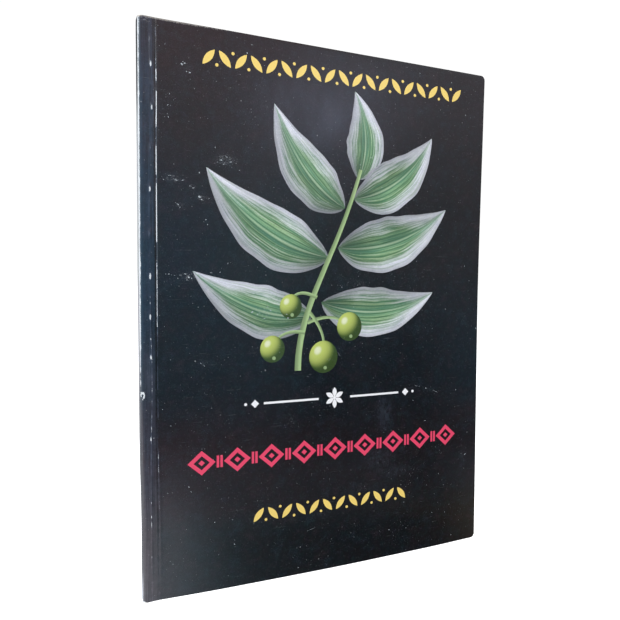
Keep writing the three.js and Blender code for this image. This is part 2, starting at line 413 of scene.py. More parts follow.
def ink_material(name, colour, vary=0.06):
    m, g, p = material(name)
    uv = g.uv("sheet")
    n = g.math("MULTIPLY_ADD", g.math("SUBTRACT", g.noise(uv, 1.6, 3.0, 0.7), 0.5), vary * 2, 1.0)
    film_over(g, p, g.mix(1.0, colour, g.join(n, n, n), "MULTIPLY"))
    return m


def black_material():
    """Black ink that drifts between warm and cool."""
    m, g, p = material("cover_black")
    uv = g.uv("sheet")
    drift = g.noise(uv, 0.12, 4.0, 0.65)
    film_over(g, p, g.mix(g.step(drift, 0.36, 0.64), linear(11, 8, 9), linear(5, 9, 12)))
    return m


mat_black = black_material()
mat_gold = ink_material("print_gold", linear(243, 213, 116), 0.08)
mat_red = ink_material("print_red", linear(232, 70, 105), 0.07)
mat_white = ink_material("print_white", linear(243, 244, 248), 0.03)


def leaf_material():
    """Variegated leaf: green middle with darker parallel veins, running out into a pale margin."""
    m, g, p = material("print_leaf")
    sheet = g.uv("sheet")
    u, v, _ = g.split(g.uv("print"))
    seed, lit, _ = g.split(g.uv("print_vary"))
    side = g.math("ABSOLUTE", v)
    streak = g.noise(g.join(g.math("MULTIPLY", u, 2.6), g.math("MULTIPLY", v, 17.0), seed), 1.0, 4.0, 0.7)
    broad = g.noise(g.join(g.math("MULTIPLY", u, 3.0), g.math("MULTIPLY", v, 3.0), g.math("ADD", seed, 7.0)), 1.0, 2.0, 0.5)
    grain = g.noise(sheet, 2.9, 3.0, 0.8)
    coarse = g.noise(g.map(sheet, shift=(40, 12, 0)), 1.3, 3.0, 0.7)
    reach = g.math("MULTIPLY_ADD", g.math("SUBTRACT", streak, 0.5), 1.75, side)
    reach = g.math("MULTIPLY_ADD", g.math("SUBTRACT", broad, 0.5), 0.70, reach)
    reach = g.math("MULTIPLY_ADD", g.math("SUBTRACT", coarse, 0.5), 0.22, reach)
    reach = g.math("MULTIPLY_ADD", g.step(u, 0.45, 1.0), 0.50, reach)
    margin = g.step(reach, 0.30, 0.96)
    # veins run from the base to the tip; they fade into the margin and towards the tip
    wobble = g.math("MULTIPLY_ADD", g.math("SUBTRACT", broad, 0.5), 0.10, side)
    comb = g.math("ABSOLUTE", g.math("SUBTRACT", g.math("FRACT", g.math("MULTIPLY", wobble, 6.5)), 0.5))
    vein = g.math("SUBTRACT", 1.0, g.step(comb, 0.03, 0.22))
    vein = g.math("MULTIPLY", vein, g.step(streak, 0.34, 0.58, 0.15, 1.0))
    vein = g.math("MULTIPLY", vein, g.step(side, 0.80, 0.97, 1.0, 0.0))
    vein = g.math("MULTIPLY", vein, g.step(u, 0.50, 0.92, 1.0, 0.25))
    body = g.mix(g.step(streak, 0.36, 0.64), linear(82, 132, 96), linear(164, 198, 140))
    body = g.mix(g.math("MULTIPLY", g.step(side, 0.0, 0.5, 1.0, 0.0), 0.55), body, linear(92, 146, 122))
    pale = g.mix(g.noise(g.map(sheet, shift=(9, 9, 0)), 0.35, 3.0, 0.6), linear(198, 200, 222), linear(232, 234, 238))
    pale = g.mix(g.step(streak, 0.5, 0.66, 0.0, 0.35), pale, linear(178, 204, 172))
    base = g.mix(margin, body, pale)
    vein_colour = g.mix(margin, linear(50, 96, 58), linear(116, 156, 116))
    colour = g.mix(g.math("MULTIPLY", vein, g.fmix(margin, 0.85, 0.60)), base, vein_colour)
    rib = g.math("SUBTRACT", 1.0, g.step(side, 0.012, 0.055))
    colour = g.mix(g.math("MULTIPLY", rib, g.step(u, 0.2, 0.95, 0.75, 0.25)), colour, linear(190, 212, 178))
    # form: the two halves fold along the midrib, the base is in shade, the margin turns under
    fold = g.step(v, -0.16, 0.16, 0.0, 1.0)
    light = g.fmix(fold, 1.0, 0.72)
    light = g.math("MULTIPLY", light, g.step(u, 0.0, 0.38, 0.50, 1.0))
    light = g.math("MULTIPLY", light, g.step(broad, 0.30, 0.70, 0.84, 1.08))
    light = g.math("MULTIPLY", light, g.step(side, 0.72, 1.0, 1.0, 0.74))
    light = g.math("MULTIPLY", light, g.step(grain, 0.30, 0.70, 0.80, 1.20))
    light = g.math("MULTIPLY", light, g.math("MULTIPLY_ADD", g.math("SUBTRACT", coarse, 0.5), 0.30, 1.0))
    light = g.math("MULTIPLY", light, lit)
    spark = g.math("MULTIPLY", g.step(grain, 0.66, 0.74), g.step(coarse, 0.50, 0.60))
    colour = g.mix(g.math("MULTIPLY", spark, 0.6), colour, linear(250, 252, 252))
    film_over(g, p, g.mix(1.0, colour, g.join(light, light, light), "MULTIPLY"))
    return m


def berry_material():
    """Round yellow-green fruit, lit from the upper left."""
    m, g, p = material("print_berry")
    sheet = g.uv("sheet")
    u, v, _ = g.split(g.uv("print"))
    rr = g.math("ADD", g.math("MULTIPLY", u, u), g.math("MULTIPLY", v, v))
    nz = g.math("SQRT", g.math("SUBTRACT", 1.0, rr, clamp=True))
    lit = g.math("MULTIPLY_ADD", nz, 0.66, g.math("MULTIPLY_ADD", v, 0.52, g.math("MULTIPLY", u, -0.46)))
    lit = g.math("MAXIMUM", lit, 0.0)
    grain = g.noise(sheet, 2.2, 3.0, 0.7)
    base = g.mix(g.step(lit, 0.15, 0.95), linear(70, 96, 36), linear(190, 204, 106))
    base = g.mix(g.math("MULTIPLY", g.step(grain, 0.60, 0.74), 0.35), base, linear(120, 140, 62))
    shine = g.step(g.math("MULTIPLY_ADD", nz, 0.80, g.math("MULTIPLY_ADD", v, 0.42, g.math("MULTIPLY", u, -0.42))), 0.93, 0.995)
    base = g.mix(g.math("MULTIPLY", shine, 0.7), base, linear(240, 244, 222))
    shade = g.math("MULTIPLY_ADD", g.math("SUBTRACT", grain, 0.5), 0.22, g.step(lit, 0.0, 0.6, 0.55, 1.0))
    film_over(g, p, g.mix(1.0, base, g.join(shade, shade, shade), "MULTIPLY"))
    return m


def stem_material():
    m, g, p = material("print_stem")
    sheet = g.uv("sheet")
    u, v, _ = g.split(g.uv("print"))
    streak = g.noise(g.join(g.math("MULTIPLY", u, 9.0), g.math("MULTIPLY", v, 2.0), 0.0), 1.0, 3.0, 0.6)
    base = g.mix(streak, linear(122, 160, 96), linear(190, 212, 160))
    shade = g.step(v, -0.9, 0.9, 1.08, 0.55)
    grain = g.math("MULTIPLY_ADD", g.math("SUBTRACT", g.noise(sheet, 2.4, 3.0, 0.7), 0.5), 0.25, 1.0)
    shade = g.math("MULTIPLY", shade, grain)
    film_over(g, p, g.mix(1.0, base, g.join(shade, shade, shade), "MULTIPLY"))
    return m


mat_leaf, mat_berry, mat_stem = leaf_material(), berry_material(), stem_material()


def worn_material():
    """Bare paper where the film and ink are scuffed off."""
    m, g, p = material("cover_scuffs")
    sheet = g.uv("sheet")
    n = g.noise(sheet, 4.5, 4.0, 0.7)
    colour = g.mix(g.step(n, 0.38, 0.66), linear(104, 116, 126), linear(234, 242, 248))
    g.put(p.inputs["Base Color"], colour)
    g.put(p.inputs["Roughness"], g.step(n, 0.3, 0.7, 0.45, 0.75))
    g.put(p.inputs["Normal"], g.bump(n, 0.6, 0.0001))
    return m


def card_material():
    """Uncoated inner face of the cover."""
    m, g, p = material("card_inside")
    sheet = g.uv("sheet")
    fibre = g.noise(g.map(sheet, scale=(1, 0.35, 1), turn=0.3), 1.8, 5.0, 0.7)
    cloud = g.noise(sheet, 0.035, 3.0, 0.6)
    x, z, _ = g.split(sheet)
    tone = g.mix(g.step(cloud, 0.3, 0.75), linear(238, 236, 230), linear(232, 229, 221))
    tone = g.mix(g.math("MULTIPLY", g.step(fibre, 0.35, 0.75), 0.20), tone, linear(198, 192, 178))
    flock = g.noise(g.map(sheet, shift=(17, 3, 0)), 0.55, 4.0, 0.7)
    tone = g.mix(g.math("MULTIPLY", g.step(flock, 0.40, 0.70), 0.14), tone, linear(206, 200, 186))
    dist, pick = g.cells(g.map(sheet, shift=(4, 9, 0)), 0.16)
    pr, pg, _ = g.split(pick)
    spot = g.math("SUBTRACT", 1.0, g.step(dist, 0.0, g.math("MULTIPLY_ADD", g.math("POWER", pg, 3.0), 0.12, 0.03)), clamp=True)
    spot = g.math("MULTIPLY", g.math("MULTIPLY", spot, g.math("LESS_THAN", pr, 0.35)), 0.30)
    tone = g.mix(spot, tone, linear(176, 144, 98))
    rubbed = g.noise(g.map(sheet, scale=(1, 0.25, 1), turn=-0.5), 0.10, 3.0, 0.6)
    tone = g.mix(g.step(rubbed, 0.55, 0.75, 0.0, 0.10), tone, linear(150, 146, 142))
    aged = g.attribute("w_rim")
    tone = g.mix(g.math("MULTIPLY", aged, g.step(flock, 0.3, 0.7, 0.30, 0.55)), tone, linear(212, 200, 174))
    g.put(p.inputs["Base Color"], tone)
    g.put(p.inputs["Roughness"], g.step(fibre, 0.3, 0.7, 0.78, 0.92))
    p.inputs["Specular IOR Level"].default_value = 0.25
    g.put(p.inputs["Normal"], g.bump(fibre, 0.35, 0.00006))
    return m


def edge_material():
    """Cut edge of the card: grey board with the black film's burr along the outside."""
    m, g, p = material("card_edge")
    sheet = g.uv("sheet")
    n = g.noise(sheet, 3.0, 4.0, 0.7)
    tone = g.mix(n, linear(92, 90, 88), linear(196, 190, 178))
    g.put(p.inputs["Base Color"], g.mix(g.attribute("w_outer"), tone, linear(34, 34, 38)))
    g.put(p.inputs["Roughness"], g.step(n, 0.3, 0.7, 0.6, 0.85))
    g.put(p.inputs["Normal"], g.bump(n, 0.5, 0.00008))
    return m


mat_worn, mat_card, mat_edge = worn_material(), card_material(), edge_material()


# ------------------------------------------------------------------ the print on the front cover, as outlines. x from the spine, y down from the head
def on_sheet(p):
    x, y = np.asarray(p, float).T
    return np.stack([S_SCORE + x - SCORE - 0.75 * (1 - (x - SCORE) / PANEL), H - y], 1)


def off_sheet(p):
    a, z = np.asarray(p, float).T
    return np.stack([SCORE + (a - S_SCORE + 0.75) * PANEL / (PANEL + 0.75), H - z], 1)


def disc(x, y, r, n=20, squash=1.0, turn=0.0):
    a = np.linspace(0, 2 * math.pi, n, endpoint=False)
    dx, dy = r * np.cos(a), r * squash * np.sin(a)
    return np.stack([x + dx * math.cos(turn) - dy * math.sin(turn), y + dx * math.sin(turn) + dy * math.cos(turn)], 1)


def lens(x, y, length, width, turn, n=12):
    """A pointed oval."""
    t = np.linspace(0, 1, n)
    h = width / 2 * np.sin(math.pi * t) ** 0.85
    px = np.concatenate([(t - 0.5) * length, ((t - 0.5) * length)[::-1][1:-1]])
    py = np.concatenate([h, -h[::-1][1:-1]])
    return np.stack([x + px * math.cos(turn) - py * math.sin(turn), y + px * math.sin(turn) + py * math.cos(turn)], 1)


def bar(x0, y0, x1, y1, width):
    d = np.array([x1 - x0, y1 - y0], float)
    d /= np.linalg.norm(d)
    n = np.array([-d[1], d[0]]) * width / 2
    a, b = np.array([x0, y0]), np.array([x1, y1])
    k = max(2, int(np.linalg.norm(b - a) / 1.5))
    t = np.linspace(0, 1, k)[:, None]
    one, two = a + (b - a) * t + n, a + (b - a) * t - n
    return np.concatenate([one, two[::-1]])


def diamond(x, y, w, h, n=4):
    c = [(x - w / 2, y), (x, y - h / 2), (x + w / 2, y), (x, y + h / 2)]
    out = []
    for a, b in zip(c, c[1:] + c[:1]):
        for i in range(n):
            out.append((a[0] + (b[0] - a[0]) * i / n, a[1] + (b[1] - a[1]) * i / n))
    return np.array(out)


class Blade:
    """A leaf or stem that follows a curve: its outline, and where a point lies on it, along (0 to 1) and across (-1 to 1)."""

    def __init__(self, points, half, shape, n=46, ripple=0.0, seed=0):
        p = np.array(points, float)
        t = np.linspace(0, 1, 321)[:, None]
        if len(p) == 3:
            c = (1 - t) ** 2 * p[0] + 2 * t * (1 - t) * p[1] + t**2 * p[2]
        else:
            c = (1 - t) ** 3 * p[0] + 3 * t * (1 - t) ** 2 * p[1] + 3 * t**2 * (1 - t) * p[2] + t**3 * p[3]
        d = np.gradient(c, axis=0)
        d /= np.linalg.norm(d, axis=1)[:, None]
        self.c, self.n = c, np.stack([d[:, 1], -d[:, 0]], 1)
        self.t = t[:, 0]
        r = np.random.default_rng(seed)
        w = half * shape(self.t)
        wave = sum(r.uniform(0.3, 1) * np.sin(2 * math.pi * (k * self.t + r.uniform())) for k in (2, 3.4, 5.2))
        self.left = w * (1 + ripple * wave)
        wave = sum(r.uniform(0.3, 1) * np.sin(2 * math.pi * (k * self.t + r.uniform())) for k in (2.3, 3.1, 4.7))
        self.right = w * (1 + ripple * wave)
        k = np.linspace(0, 320, n).astype(int)
        a = self.c[k] + self.n[k] * self.left[k][:, None]
        b = self.c[k] - self.n[k] * self.right[k][:, None]
        if w[-1] < 1e-6:
            b = b[:-1]
        if w[0] < 1e-6:
            b = b[1:]
        self.outline = np.concatenate([a, b[::-1]])

    def local(self, p):
        d = ((p[:, None, :] - self.c[None]) ** 2).sum(2)
        i = d.argmin(1)
        across = ((p - self.c[i]) * self.n[i]).sum(1)
        w = np.where(across > 0, self.left[i], self.right[i])
        return np.stack([self.t[i], np.clip(across / np.maximum(w, 0.12), -1, 1)], 1)


def ovate(t):
    return np.sin(math.pi * t**0.78) ** 0.92 * (1 - 0.10 * t)


def even(t):
    return 1.0 - 0.45 * t


def cover_print():
    """Each shape: (material, outline in sheet millimetres, function to (u, v), (seed, light)). Later ones lie on top."""
    shapes = []

    def plain(mat, outline):
        shapes.append((mat, on_sheet(outline), None, (0, 1)))

    # a sprig of variegated leaves that leans to the right
    leaves = [
        ([(86, 50), (93, 34), (84, 15)], 8.8, 1.00),
        ([(80, 62), (60, 52), (50, 24)], 10.4, 0.97),
        ([(84, 58), (108, 54), (121, 30)], 10.6, 1.00),
        ([(73, 82), (44, 78), (24, 50)], 12.0, 1.02),
        ([(77, 78), (106, 80), (129, 60)], 11.8, 0.96),
        ([(66, 105), (42, 108), (19, 88)], 10.6, 0.95),
        ([(70, 100), (98, 110), (123, 96)], 10.8, 1.0),
    ]
    for k, (pts, half, light) in enumerate(leaves):
        b = Blade(pts, half, ovate, ripple=0.022, seed=30 + k)
        shapes.append((mat_leaf, on_sheet(b.outline), b, (3.7 * k + 1.3, light)))
    stem = Blade([(60, 127), (60, 100), (76, 84), (87, 46)], 1.35, even, n=40)
    shapes.append((mat_stem, on_sheet(stem.outline), stem, (0, 1)))
    for x0, y0, cx, cy, x1, y1 in ((64, 108, 74, 104, 80, 108), (63, 112, 54, 110, 50, 116), (65, 104, 72, 112, 71, 119), (68, 98, 60, 94, 57, 99)):
        b = Blade([(x0, y0), (cx, cy), (x1, y1)], 0.75, even, n=16)
        shapes.append((mat_stem, on_sheet(b.outline), b, (0, 1)))
    for x, y, r in ((57, 101.5, 4.6), (82.5, 110, 5.6), (49.5, 118, 5.0), (71, 122, 6.2)):
        outline = disc(x, y, r, 36, 1.06)

        class Round:
            def __init__(self, x, y, r):
                self.x, self.y, self.r = x, y, r

            def local(self, p):
                return np.stack([(p[:, 0] - self.x) / self.r, -(p[:, 1] - self.y) / (self.r * 1.06)], 1)

        shapes.append((mat_berry, on_sheet(outline), Round(x, y, r), (0, 1)))
        plain(mat_stem, disc(x + r * 0.12, y + r * 0.72, 0.75, 10))

    # gold: a running border of slanted leaves and beads along the head, and a shorter one under the sprig
    def running(x0, x1, y, count, size):
        step = (x1 - x0) / (count - 1)
        for i in range(count):
            x = x0 + i * step
            turn = math.radians(-52 if i % 2 == 0 else 52)
            plain(mat_gold, lens(x, y, size, size * 0.36, turn))
            if i < count - 1:
                plain(mat_gold, disc(x + step / 2, y + (size * 0.34 if i % 2 == 0 else -size * 0.34), size * 0.085, 12))

    running(25, 133, 10.5, 19, 7.2)
    running(44, 108, 183.0, 12, 6.6)
    # white: a rosette between two rules
    for k in range(6):
        a = math.radians(60 * k + 30)
        plain(mat_white, lens(76 + 2.35 * math.cos(a), 139 + 2.35 * math.sin(a), 3.9, 1.9, a))
    plain(mat_white, disc(76, 139, 0.62, 12))
    for sgn in (-1, 1):
        plain(mat_white, bar(76 + sgn * 7, 139, 76 + sgn * 30, 139, 0.85))
        plain(mat_white, diamond(76 + sgn * 33.5, 139, 3.2, 3.2, 2))
        plain(mat_white, disc(76 + sgn * 37.2, 139, 0.6, 10))
    # red: pierced lozenges joined by pairs of small bars
    for i in range(9):
        x = 22 + i * 13.6
        plain(mat_red, diamond(x, 160.0, 10.4, 9.4))
        plain(mat_black, diamond(x, 160.0, 6.0, 5.4))
        plain(mat_red, diamond(x, 160.0, 2.4, 2.2, 2))
        if i < 8:
            plain(mat_red, bar(x + 6.1, 157.7, x + 6.1, 162.3, 0.95))
            plain(mat_red, bar(x + 7.5, 157.7, x + 7.5, 162.3, 0.95))
    return shapes


# ------------------------------------------------------------------ scuffs through the film, in sheet millimetres
def blot(r, x, y, a, b, turn=0.0):
    n = int(r.integers(7, 12))
    t = np.sort(r.uniform(0, 1, n)) * 2 * math.pi
    if np.diff(np.append(t, t[0] + 2 * math.pi)).max() > 2.2:
        t = np.linspace(0, 2 * math.pi, n, endpoint=False)
    k = r.uniform(0.35, 1.25, n)
    dx, dy = a * k * np.cos(t), b * k * np.sin(t)
    return np.stack([x + dx * math.cos(turn) - dy * math.sin(turn), y + dx * math.sin(turn) + dy * math.cos(turn)], 1)


def front_scuffs():
    r = np.random.default_rng(61)
    out = []

    def at(x, y, a, b, turn=0.0):
        out.append(on_sheet(blot(r, x, y, a, b, turn)))

    for x, y, a, b, turn in (
        (15.6, 14.6, 0.75, 0.34, 0.5), (16.5, 14.2, 0.45, 0.32, -0.4), (17.2, 16.9, 0.26, 0.22, 0), (18.3, 17.1, 0.44, 0.26, 0),
        (39.3, 6.9, 0.34, 0.26, 0.2), (41.2, 3.7, 0.5, 0.10, 0.1), (46.0, 10.5, 0.18, 0.14, 0), (9.8, 8.4, 0.18, 0.16, 0),
        (11.2, 25.5, 0.16, 0.22, 0), (12.6, 27.4, 0.16, 0.14, 0), (10.6, 29.4, 0.4, 0.09, -0.7), (10.8, 33.6, 0.14, 0.28, 0),
        (27.4, 42.6, 0.07, 0.9, 0.05), (29.5, 47.0, 0.62, 0.24, -0.2), (31.6, 45.7, 0.55, 0.13, 0.4), (33.2, 47.4, 0.5, 0.15, -0.3),
        (30.5, 48.5, 0.38, 0.16, 0.2), (28.2, 47.9, 0.25, 0.1, 0.1), (36.4, 50.2, 0.4, 0.09, 0.1), (21.6, 52.2, 0.32, 0.26, 0.6),
        (13.6, 55.5, 0.8, 0.13, 0.05), (11.4, 54.0, 1.0, 0.07, -0.05), (15.7, 55.4, 0.5, 0.11, -0.3), (9.0, 55.6, 0.3, 0.1, 0),
        (18.3, 57.3, 0.5, 0.12, 0.1), (19.3, 58.0, 0.3, 0.12, -0.3), (21.6, 61.0, 0.62, 0.36, 0.3), (22.4, 61.9, 0.3, 0.2, 0),
        (25.0, 61.4, 0.3, 0.1, 0.2), (13.9, 64.1, 0.45, 0.12, 0.6), (14.7, 65.1, 0.32, 0.12, -0.5), (23.8, 69.2, 0.34, 0.22, 0.4),
        (24.4, 71.0, 0.14, 0.24, 0.2), (32.0, 85.0, 0.12, 0.5, 0.1), (9.6, 89.2, 0.22, 0.18, 0), (10.7, 89.2, 0.2, 0.16, 0),
        (11.6, 89.5, 0.2, 0.14, 0), (12.6, 89.7, 0.4, 0.12, 0.1), (14.6, 89.6, 0.5, 0.07, 0.1), (16.4, 89.1, 0.34, 0.24, 0.3),
        (17.5, 90.2, 0.48, 0.34, 0.6), (18.6, 90.7, 0.24, 0.2, 0), (17.0, 91.3, 0.2, 0.16, 0), (25.6, 88.6, 0.5, 0.08, 0),
        (29.0, 88.3, 0.4, 0.07, -0.1), (41.4, 103.4, 0.7, 0.34, -0.5), (43.4, 104.4, 0.3, 0.2, 0.3), (47.4, 101.5, 0.5, 0.14, -0.6),
        (48.6, 102.9, 0.45, 0.16, -0.5), (46.1, 106.0, 0.5, 0.13, -0.3), (49.0, 104.4, 0.3, 0.1, -0.5), (55.2, 104.5, 0.4, 0.14, 0.2),
        (40.2, 108.2, 0.42, 0.3, 0.2), (55.8, 106.0, 0.4, 0.26, 1.2), (21.8, 122.2, 0.6, 0.1, 0.7), (23.0, 123.2, 0.4, 0.1, 0.8),
        (8.2, 138.5, 0.22, 0.2, 0), (11.0, 144.8, 0.22, 0.18, 0), (17.2, 168.4, 0.16, 0.4, -0.3), (18.1, 170.4, 0.12, 0.3, -0.4),
        (26.8, 183.4, 0.14, 0.34, 0.1), (33.6, 183.4, 0.3, 0.12, 0.7), (34.4, 193.1, 0.26, 0.2, 0), (60.4, 207.2, 0.26, 0.2, 0.4),
        (90.6, 97.4, 0.55, 0.09, 0.9), (88.2, 96.2, 0.4, 0.07, 0.3), (114.3, 3.6, 0.24, 0.2, 0), (140.0, 84.4, 0.26, 0.24, 0),
        (111.3, 53.4, 0.2, 0.18, 0), (102.2, 34.8, 0.16, 0.16, 0), (120.0, 138.2, 0.42, 0.16, 0.3), (113.5, 143.0, 0.24, 0.42, 0.1),
        (119.8, 152.6, 0.5, 0.09, 0), (127.4, 177.3, 0.24, 0.2, 0), (121.1, 181.6, 0.2, 0.18, 0), (102.0, 198.5, 0.5, 0.14, 0.5),
        (124.0, 194.4, 0.22, 0.16, 0), (131.0, 195.4, 0.22, 0.13, 0.4), (110.6, 199.1, 0.2, 0.2, 0), (134.6, 206.6, 0.24, 0.12, 0.3),
        (142.0, 170.2, 0.3, 0.5, 0.5), (147.3, 112.5, 0.5, 0.3, 0.0), (96.4, 168.6, 0.16, 0.14, 0), (136.2, 140.0, 0.2, 0.5, 0.1),
    ):
        at(x, y, a, b, turn)
    for x0, y0, x1, y1 in ((114.5, 136.6, 117.0, 137.3), (123.5, 139.2, 126.6, 140.6), (77.4, 120.2, 78.4, 122.2), (64, 192.6, 67.5, 191.9)):
        out.append(on_sheet(bar(x0, y0, x1, y1, 0.045)))
    for _ in range(70):  # fine specks, thicker towards the spine
        x = 8 + 132 * r.uniform() ** 1.6
        y = r.uniform(4, 206)
        k = 0.05 + 0.08 * r.uniform() ** 2
        at(x, y, k, k * r.uniform(0.7, 1.6), r.uniform(0, 3))
    return out


def back_scuffs():
    r = np.random.default_rng(88)
    out = []
    for _ in range(110):
        s = r.uniform(S_SCORE + 3, S_END - 3)
        z = r.uniform(4, H - 4)
        k = 0.06 + 0.3 * r.uniform() ** 4
        out.append(blot(r, s, z, k * r.uniform(0.7, 2.0), k, r.uniform(0, 3)))
    return out


# ------------------------------------------------------------------ the cover card
def outline_of_half():
    """Unrolled half of the card, from the middle of the spine to the fore edge, with its worn round corners."""
    zs = np.concatenate([np.arange(0, H, 1.5), [H]])
    s_cols = columns()
    right = []
    steps = 9
    for i in range(steps + 1):
        a = -math.pi / 2 + i / steps * math.pi / 2
        right.append((S_END - CORNER + CORNER * math.cos(a), CORNER + CORNER * math.sin(a)))
    right += [(S_END, z) for z in zs if CORNER + 0.5 < z < H - CORNER - 0.5]
    for i in range(steps + 1):
        a = i / steps * math.pi / 2
        right.append((S_END - CORNER + CORNER * math.cos(a), H - CORNER + CORNER * math.sin(a)))
    bottom = [(s, 0.0) for s in s_cols if s < S_END - CORNER - 0.3]
    top = [(s, H) for s in s_cols[::-1] if s < S_END - CORNER - 0.3]
    left = [(0.0, z) for z in spine_rows()[::-1][1:-1]]
    return np.array(bottom + right + top + left)


def columns():
    a = np.linspace(0, S_FLAT, 6)
    b = np.linspace(S_FLAT, S_BEND, 10)[1:]
    c = np.linspace(S_BEND, S_SCORE - 0.9, 28)[1:]
    d = np.linspace(S_SCORE - 0.9, S_SCORE + 0.9, 19)[1:]
    e = np.concatenate([S_SCORE + 0.9 + np.array([0.3, 0.8, 1.6]), np.linspace(S_SCORE + 4.2, S_END - 1.6, 84)])
    f = S_END - np.array([0.9, 0.45, 0.2])
    return np.concatenate([a, b, c, d, e, f])


def spine_rows():
    near = np.array([0.0, 0.15, 0.35, 0.7, 1.2])
    return np.concatenate([near, np.linspace(2.0, H - 2.0, 275), H - near[::-1]])


def panel_rows():
    near = np.array([0.2, 0.45, 0.9])
    return np.concatenate([near, np.linspace(2.0, H - 2.0, 128), H - near[::-1]])


holes = SEW_PITCH * np.arange(1, 14)
wobble_card = waves(5, 26, 70)
wobble_fine = waves(6, 7, 16)
stitch_strength = np.random.default_rng(12).uniform(0.65, 1.1, 13)


def sew_line(z):
    """Where the sewing lies across the strip: not quite parallel to the score."""
    at = [0, 15, 30, 45, 60, 75, 90, 105, 120, 135, 150, 165, 180, 195, 210]
    off = [-0.95, -0.95, -0.95, -0.80, -0.60, -0.45, -0.30, -0.50, -0.40, -0.36, -0.36, -0.10, 0.50, 0.20, 0.10]
    return S_SEW + np.interp(z, at, off)


STITCH_SHIFT = np.array([0.8, 0, 0, 0.8, 0, 0.95, 0.25, -0.1, 0, 0.75, 0, -0.9, -0.95])  # along the line, from the tail up


def sheet_edge_distance(s, z):
    d = np.minimum(np.minimum(z, H - z), S_END - s)
    for zc, sign in ((CORNER, -1), (H - CORNER, 1)):
        inside = (s > S_END - CORNER) & (sign * (z - zc) > 0)
        r = CORNER - np.hypot(s - (S_END - CORNER), z - zc)
        d = np.where(inside, r, d)
    return np.maximum(d, 0)


def relief(s, z, front):
    """How far the outer face stands off its CAD surface: (everywhere, only on the outer face)."""
    t = np.clip((s - S_SCORE) / PANEL, 0, 1)
    on = smooth(0, 0.03, t)
    if front:
        bow = (0.19 + 2.01 * (1 - z / H) ** 1.25) * 4 * t * (1 - t)
        low, high = np.clip((H / 2 - z) / (H / 2), 0, 1), np.clip((z - H / 2) / (H / 2), 0, 1)
        curl = (1.80 * low**2 + 0.23 * high**2 + 0.30 * np.cos(2 * math.pi * (z - 55) / 150)) * t**2.2
        d = bow + curl + 0.10 * wobble_card(s, z) * on * (1 - 0.4 * t)
    else:
        bow = (0.9 - 0.5 * z / H) * 4 * t * (1 - t)
        curl = 0.7 * ((z - H / 2) / (H / 2)) ** 2 * t**2 - 0.2 * t**2
        d = bow + curl + 0.12 * wobble_card(s + 300, z) * on
    strip = smooth(0, S_BEND, s) * (1 - smooth(S_SCORE - 0.6, S_SCORE, s))
    outer = 0.030 * wobble_fine(s * 2.2, z * 0.8) * strip
    outer = outer + 0.02 * (1 - smooth(0, S_BEND, s)) * wobble_fine(s + 50, z * 0.8)
    # sewing under the card: a low ridge that rises at each hole
    lift = 0.07 + 0.02 * wobble_fine(z * 0 + 8, z * 1.4)
    for k, zk in enumerate(holes):
        lift = lift + 0.13 * stitch_strength[k] * bell(z - zk - STITCH_SHIFT[k], 1.3)
        lift = lift + 0.05 * stitch_strength[-k] * bell(z - zk - 7.4, 1.1)
    lift = lift * smooth(5, 9, z) * (1 - smooth(H - 9, H - 5, z))
    line = sew_line(z)
    outer = outer + lift * bell(s - line, 0.42) + (0.05 + 0.03 * wobble_fine(z + 90, z * 0)) * bell(s - line - 0.3, 1.0)
    # the score: a pressed groove with a lip on each side
    depth = (0.085 + 0.035 * wobble_fine(z, z * 0 + 3) + 0.02 * np.sin(z * 0.9)) * (0.12 + 0.88 * smooth(82, 110, z)) * (1 - 0.65 * smooth(196, 206, z))
    outer = outer - depth * bell(s - S_SCORE, 0.26) + 0.045 * bell(s - S_SCORE - 0.62, 0.3) + 0.035 * bell(s - S_SCORE + 0.66, 0.32)
    # cut edges roll in a little
    outer = outer - 0.05 * np.exp(-sheet_edge_distance(s, z) / 0.25)
    return d, outer


def card_point(s, z, inner, front):
    """World millimetres of a point of the unrolled half, on the outer or the inner face."""
    ajar = math.radians(FRONT_AJAR if front else BACK_AJAR)
    s, z = np.asarray(s, float), np.asarray(z, float)
    a = np.clip((s - S_FLAT) / BEND, 0, math.pi / 2)
    x = SPINE_X + BEND - BEND * np.cos(a)
    w = OUT - BEND + BEND * np.sin(a)
    x = np.where(s < S_FLAT, SPINE_X, x)
    w = np.where(s < S_FLAT, s, w)
    x = np.where(s > S_BEND, SPINE_X + BEND + (s - S_BEND), x)
    t = s - S_SCORE
    x = np.where(t > 0, SCORE_X + t * math.cos(ajar), x)
    w = np.where(t > 0, OUT + t * math.sin(ajar), w)
    turn = ajar * smooth(-0.3, 0.3, t)
    nx = np.where(s < S_BEND, -np.cos(a), -np.sin(turn))
    nw = np.where(s < S_BEND, np.sin(a), np.cos(turn))
    d, outer = relief(s, z, front)
    if inner:
        off = d - CARD - 0.10 * bell(t, 0.3) + 0.06 * np.exp(-sheet_edge_distance(s, z) / 0.28) * smooth(0, 2, t)
    else:
        off = d + outer
    x, w = x + nx * off, w + nw * off
    swell = SPINE_BOW * np.sin(math.pi * z / H) + 0.18 * smooth(20, 70, z) + 0.08 * smooth(150, 200, z) + 0.12 * (1 - smooth(0, 9, z)) - 0.17 * bell(z - 30, 17)
    x = x - swell * (1 - 0.55 * smooth(S_BEND, S_SCORE, s) - 0.45 * smooth(S_SCORE, S_SCORE + 18, s))
    # head and tail of the spine are rubbed a little round
    soft = bell(s - (S_FLAT + S_BEND) / 2, 1.0)
    zz = z - 0.34 * soft * smooth(H - 1.6, H, z) + 0.35 * soft * (1 - smooth(0, 2.0, z))
    return np.stack([x, YC + (-w if front else w), zz], 1)


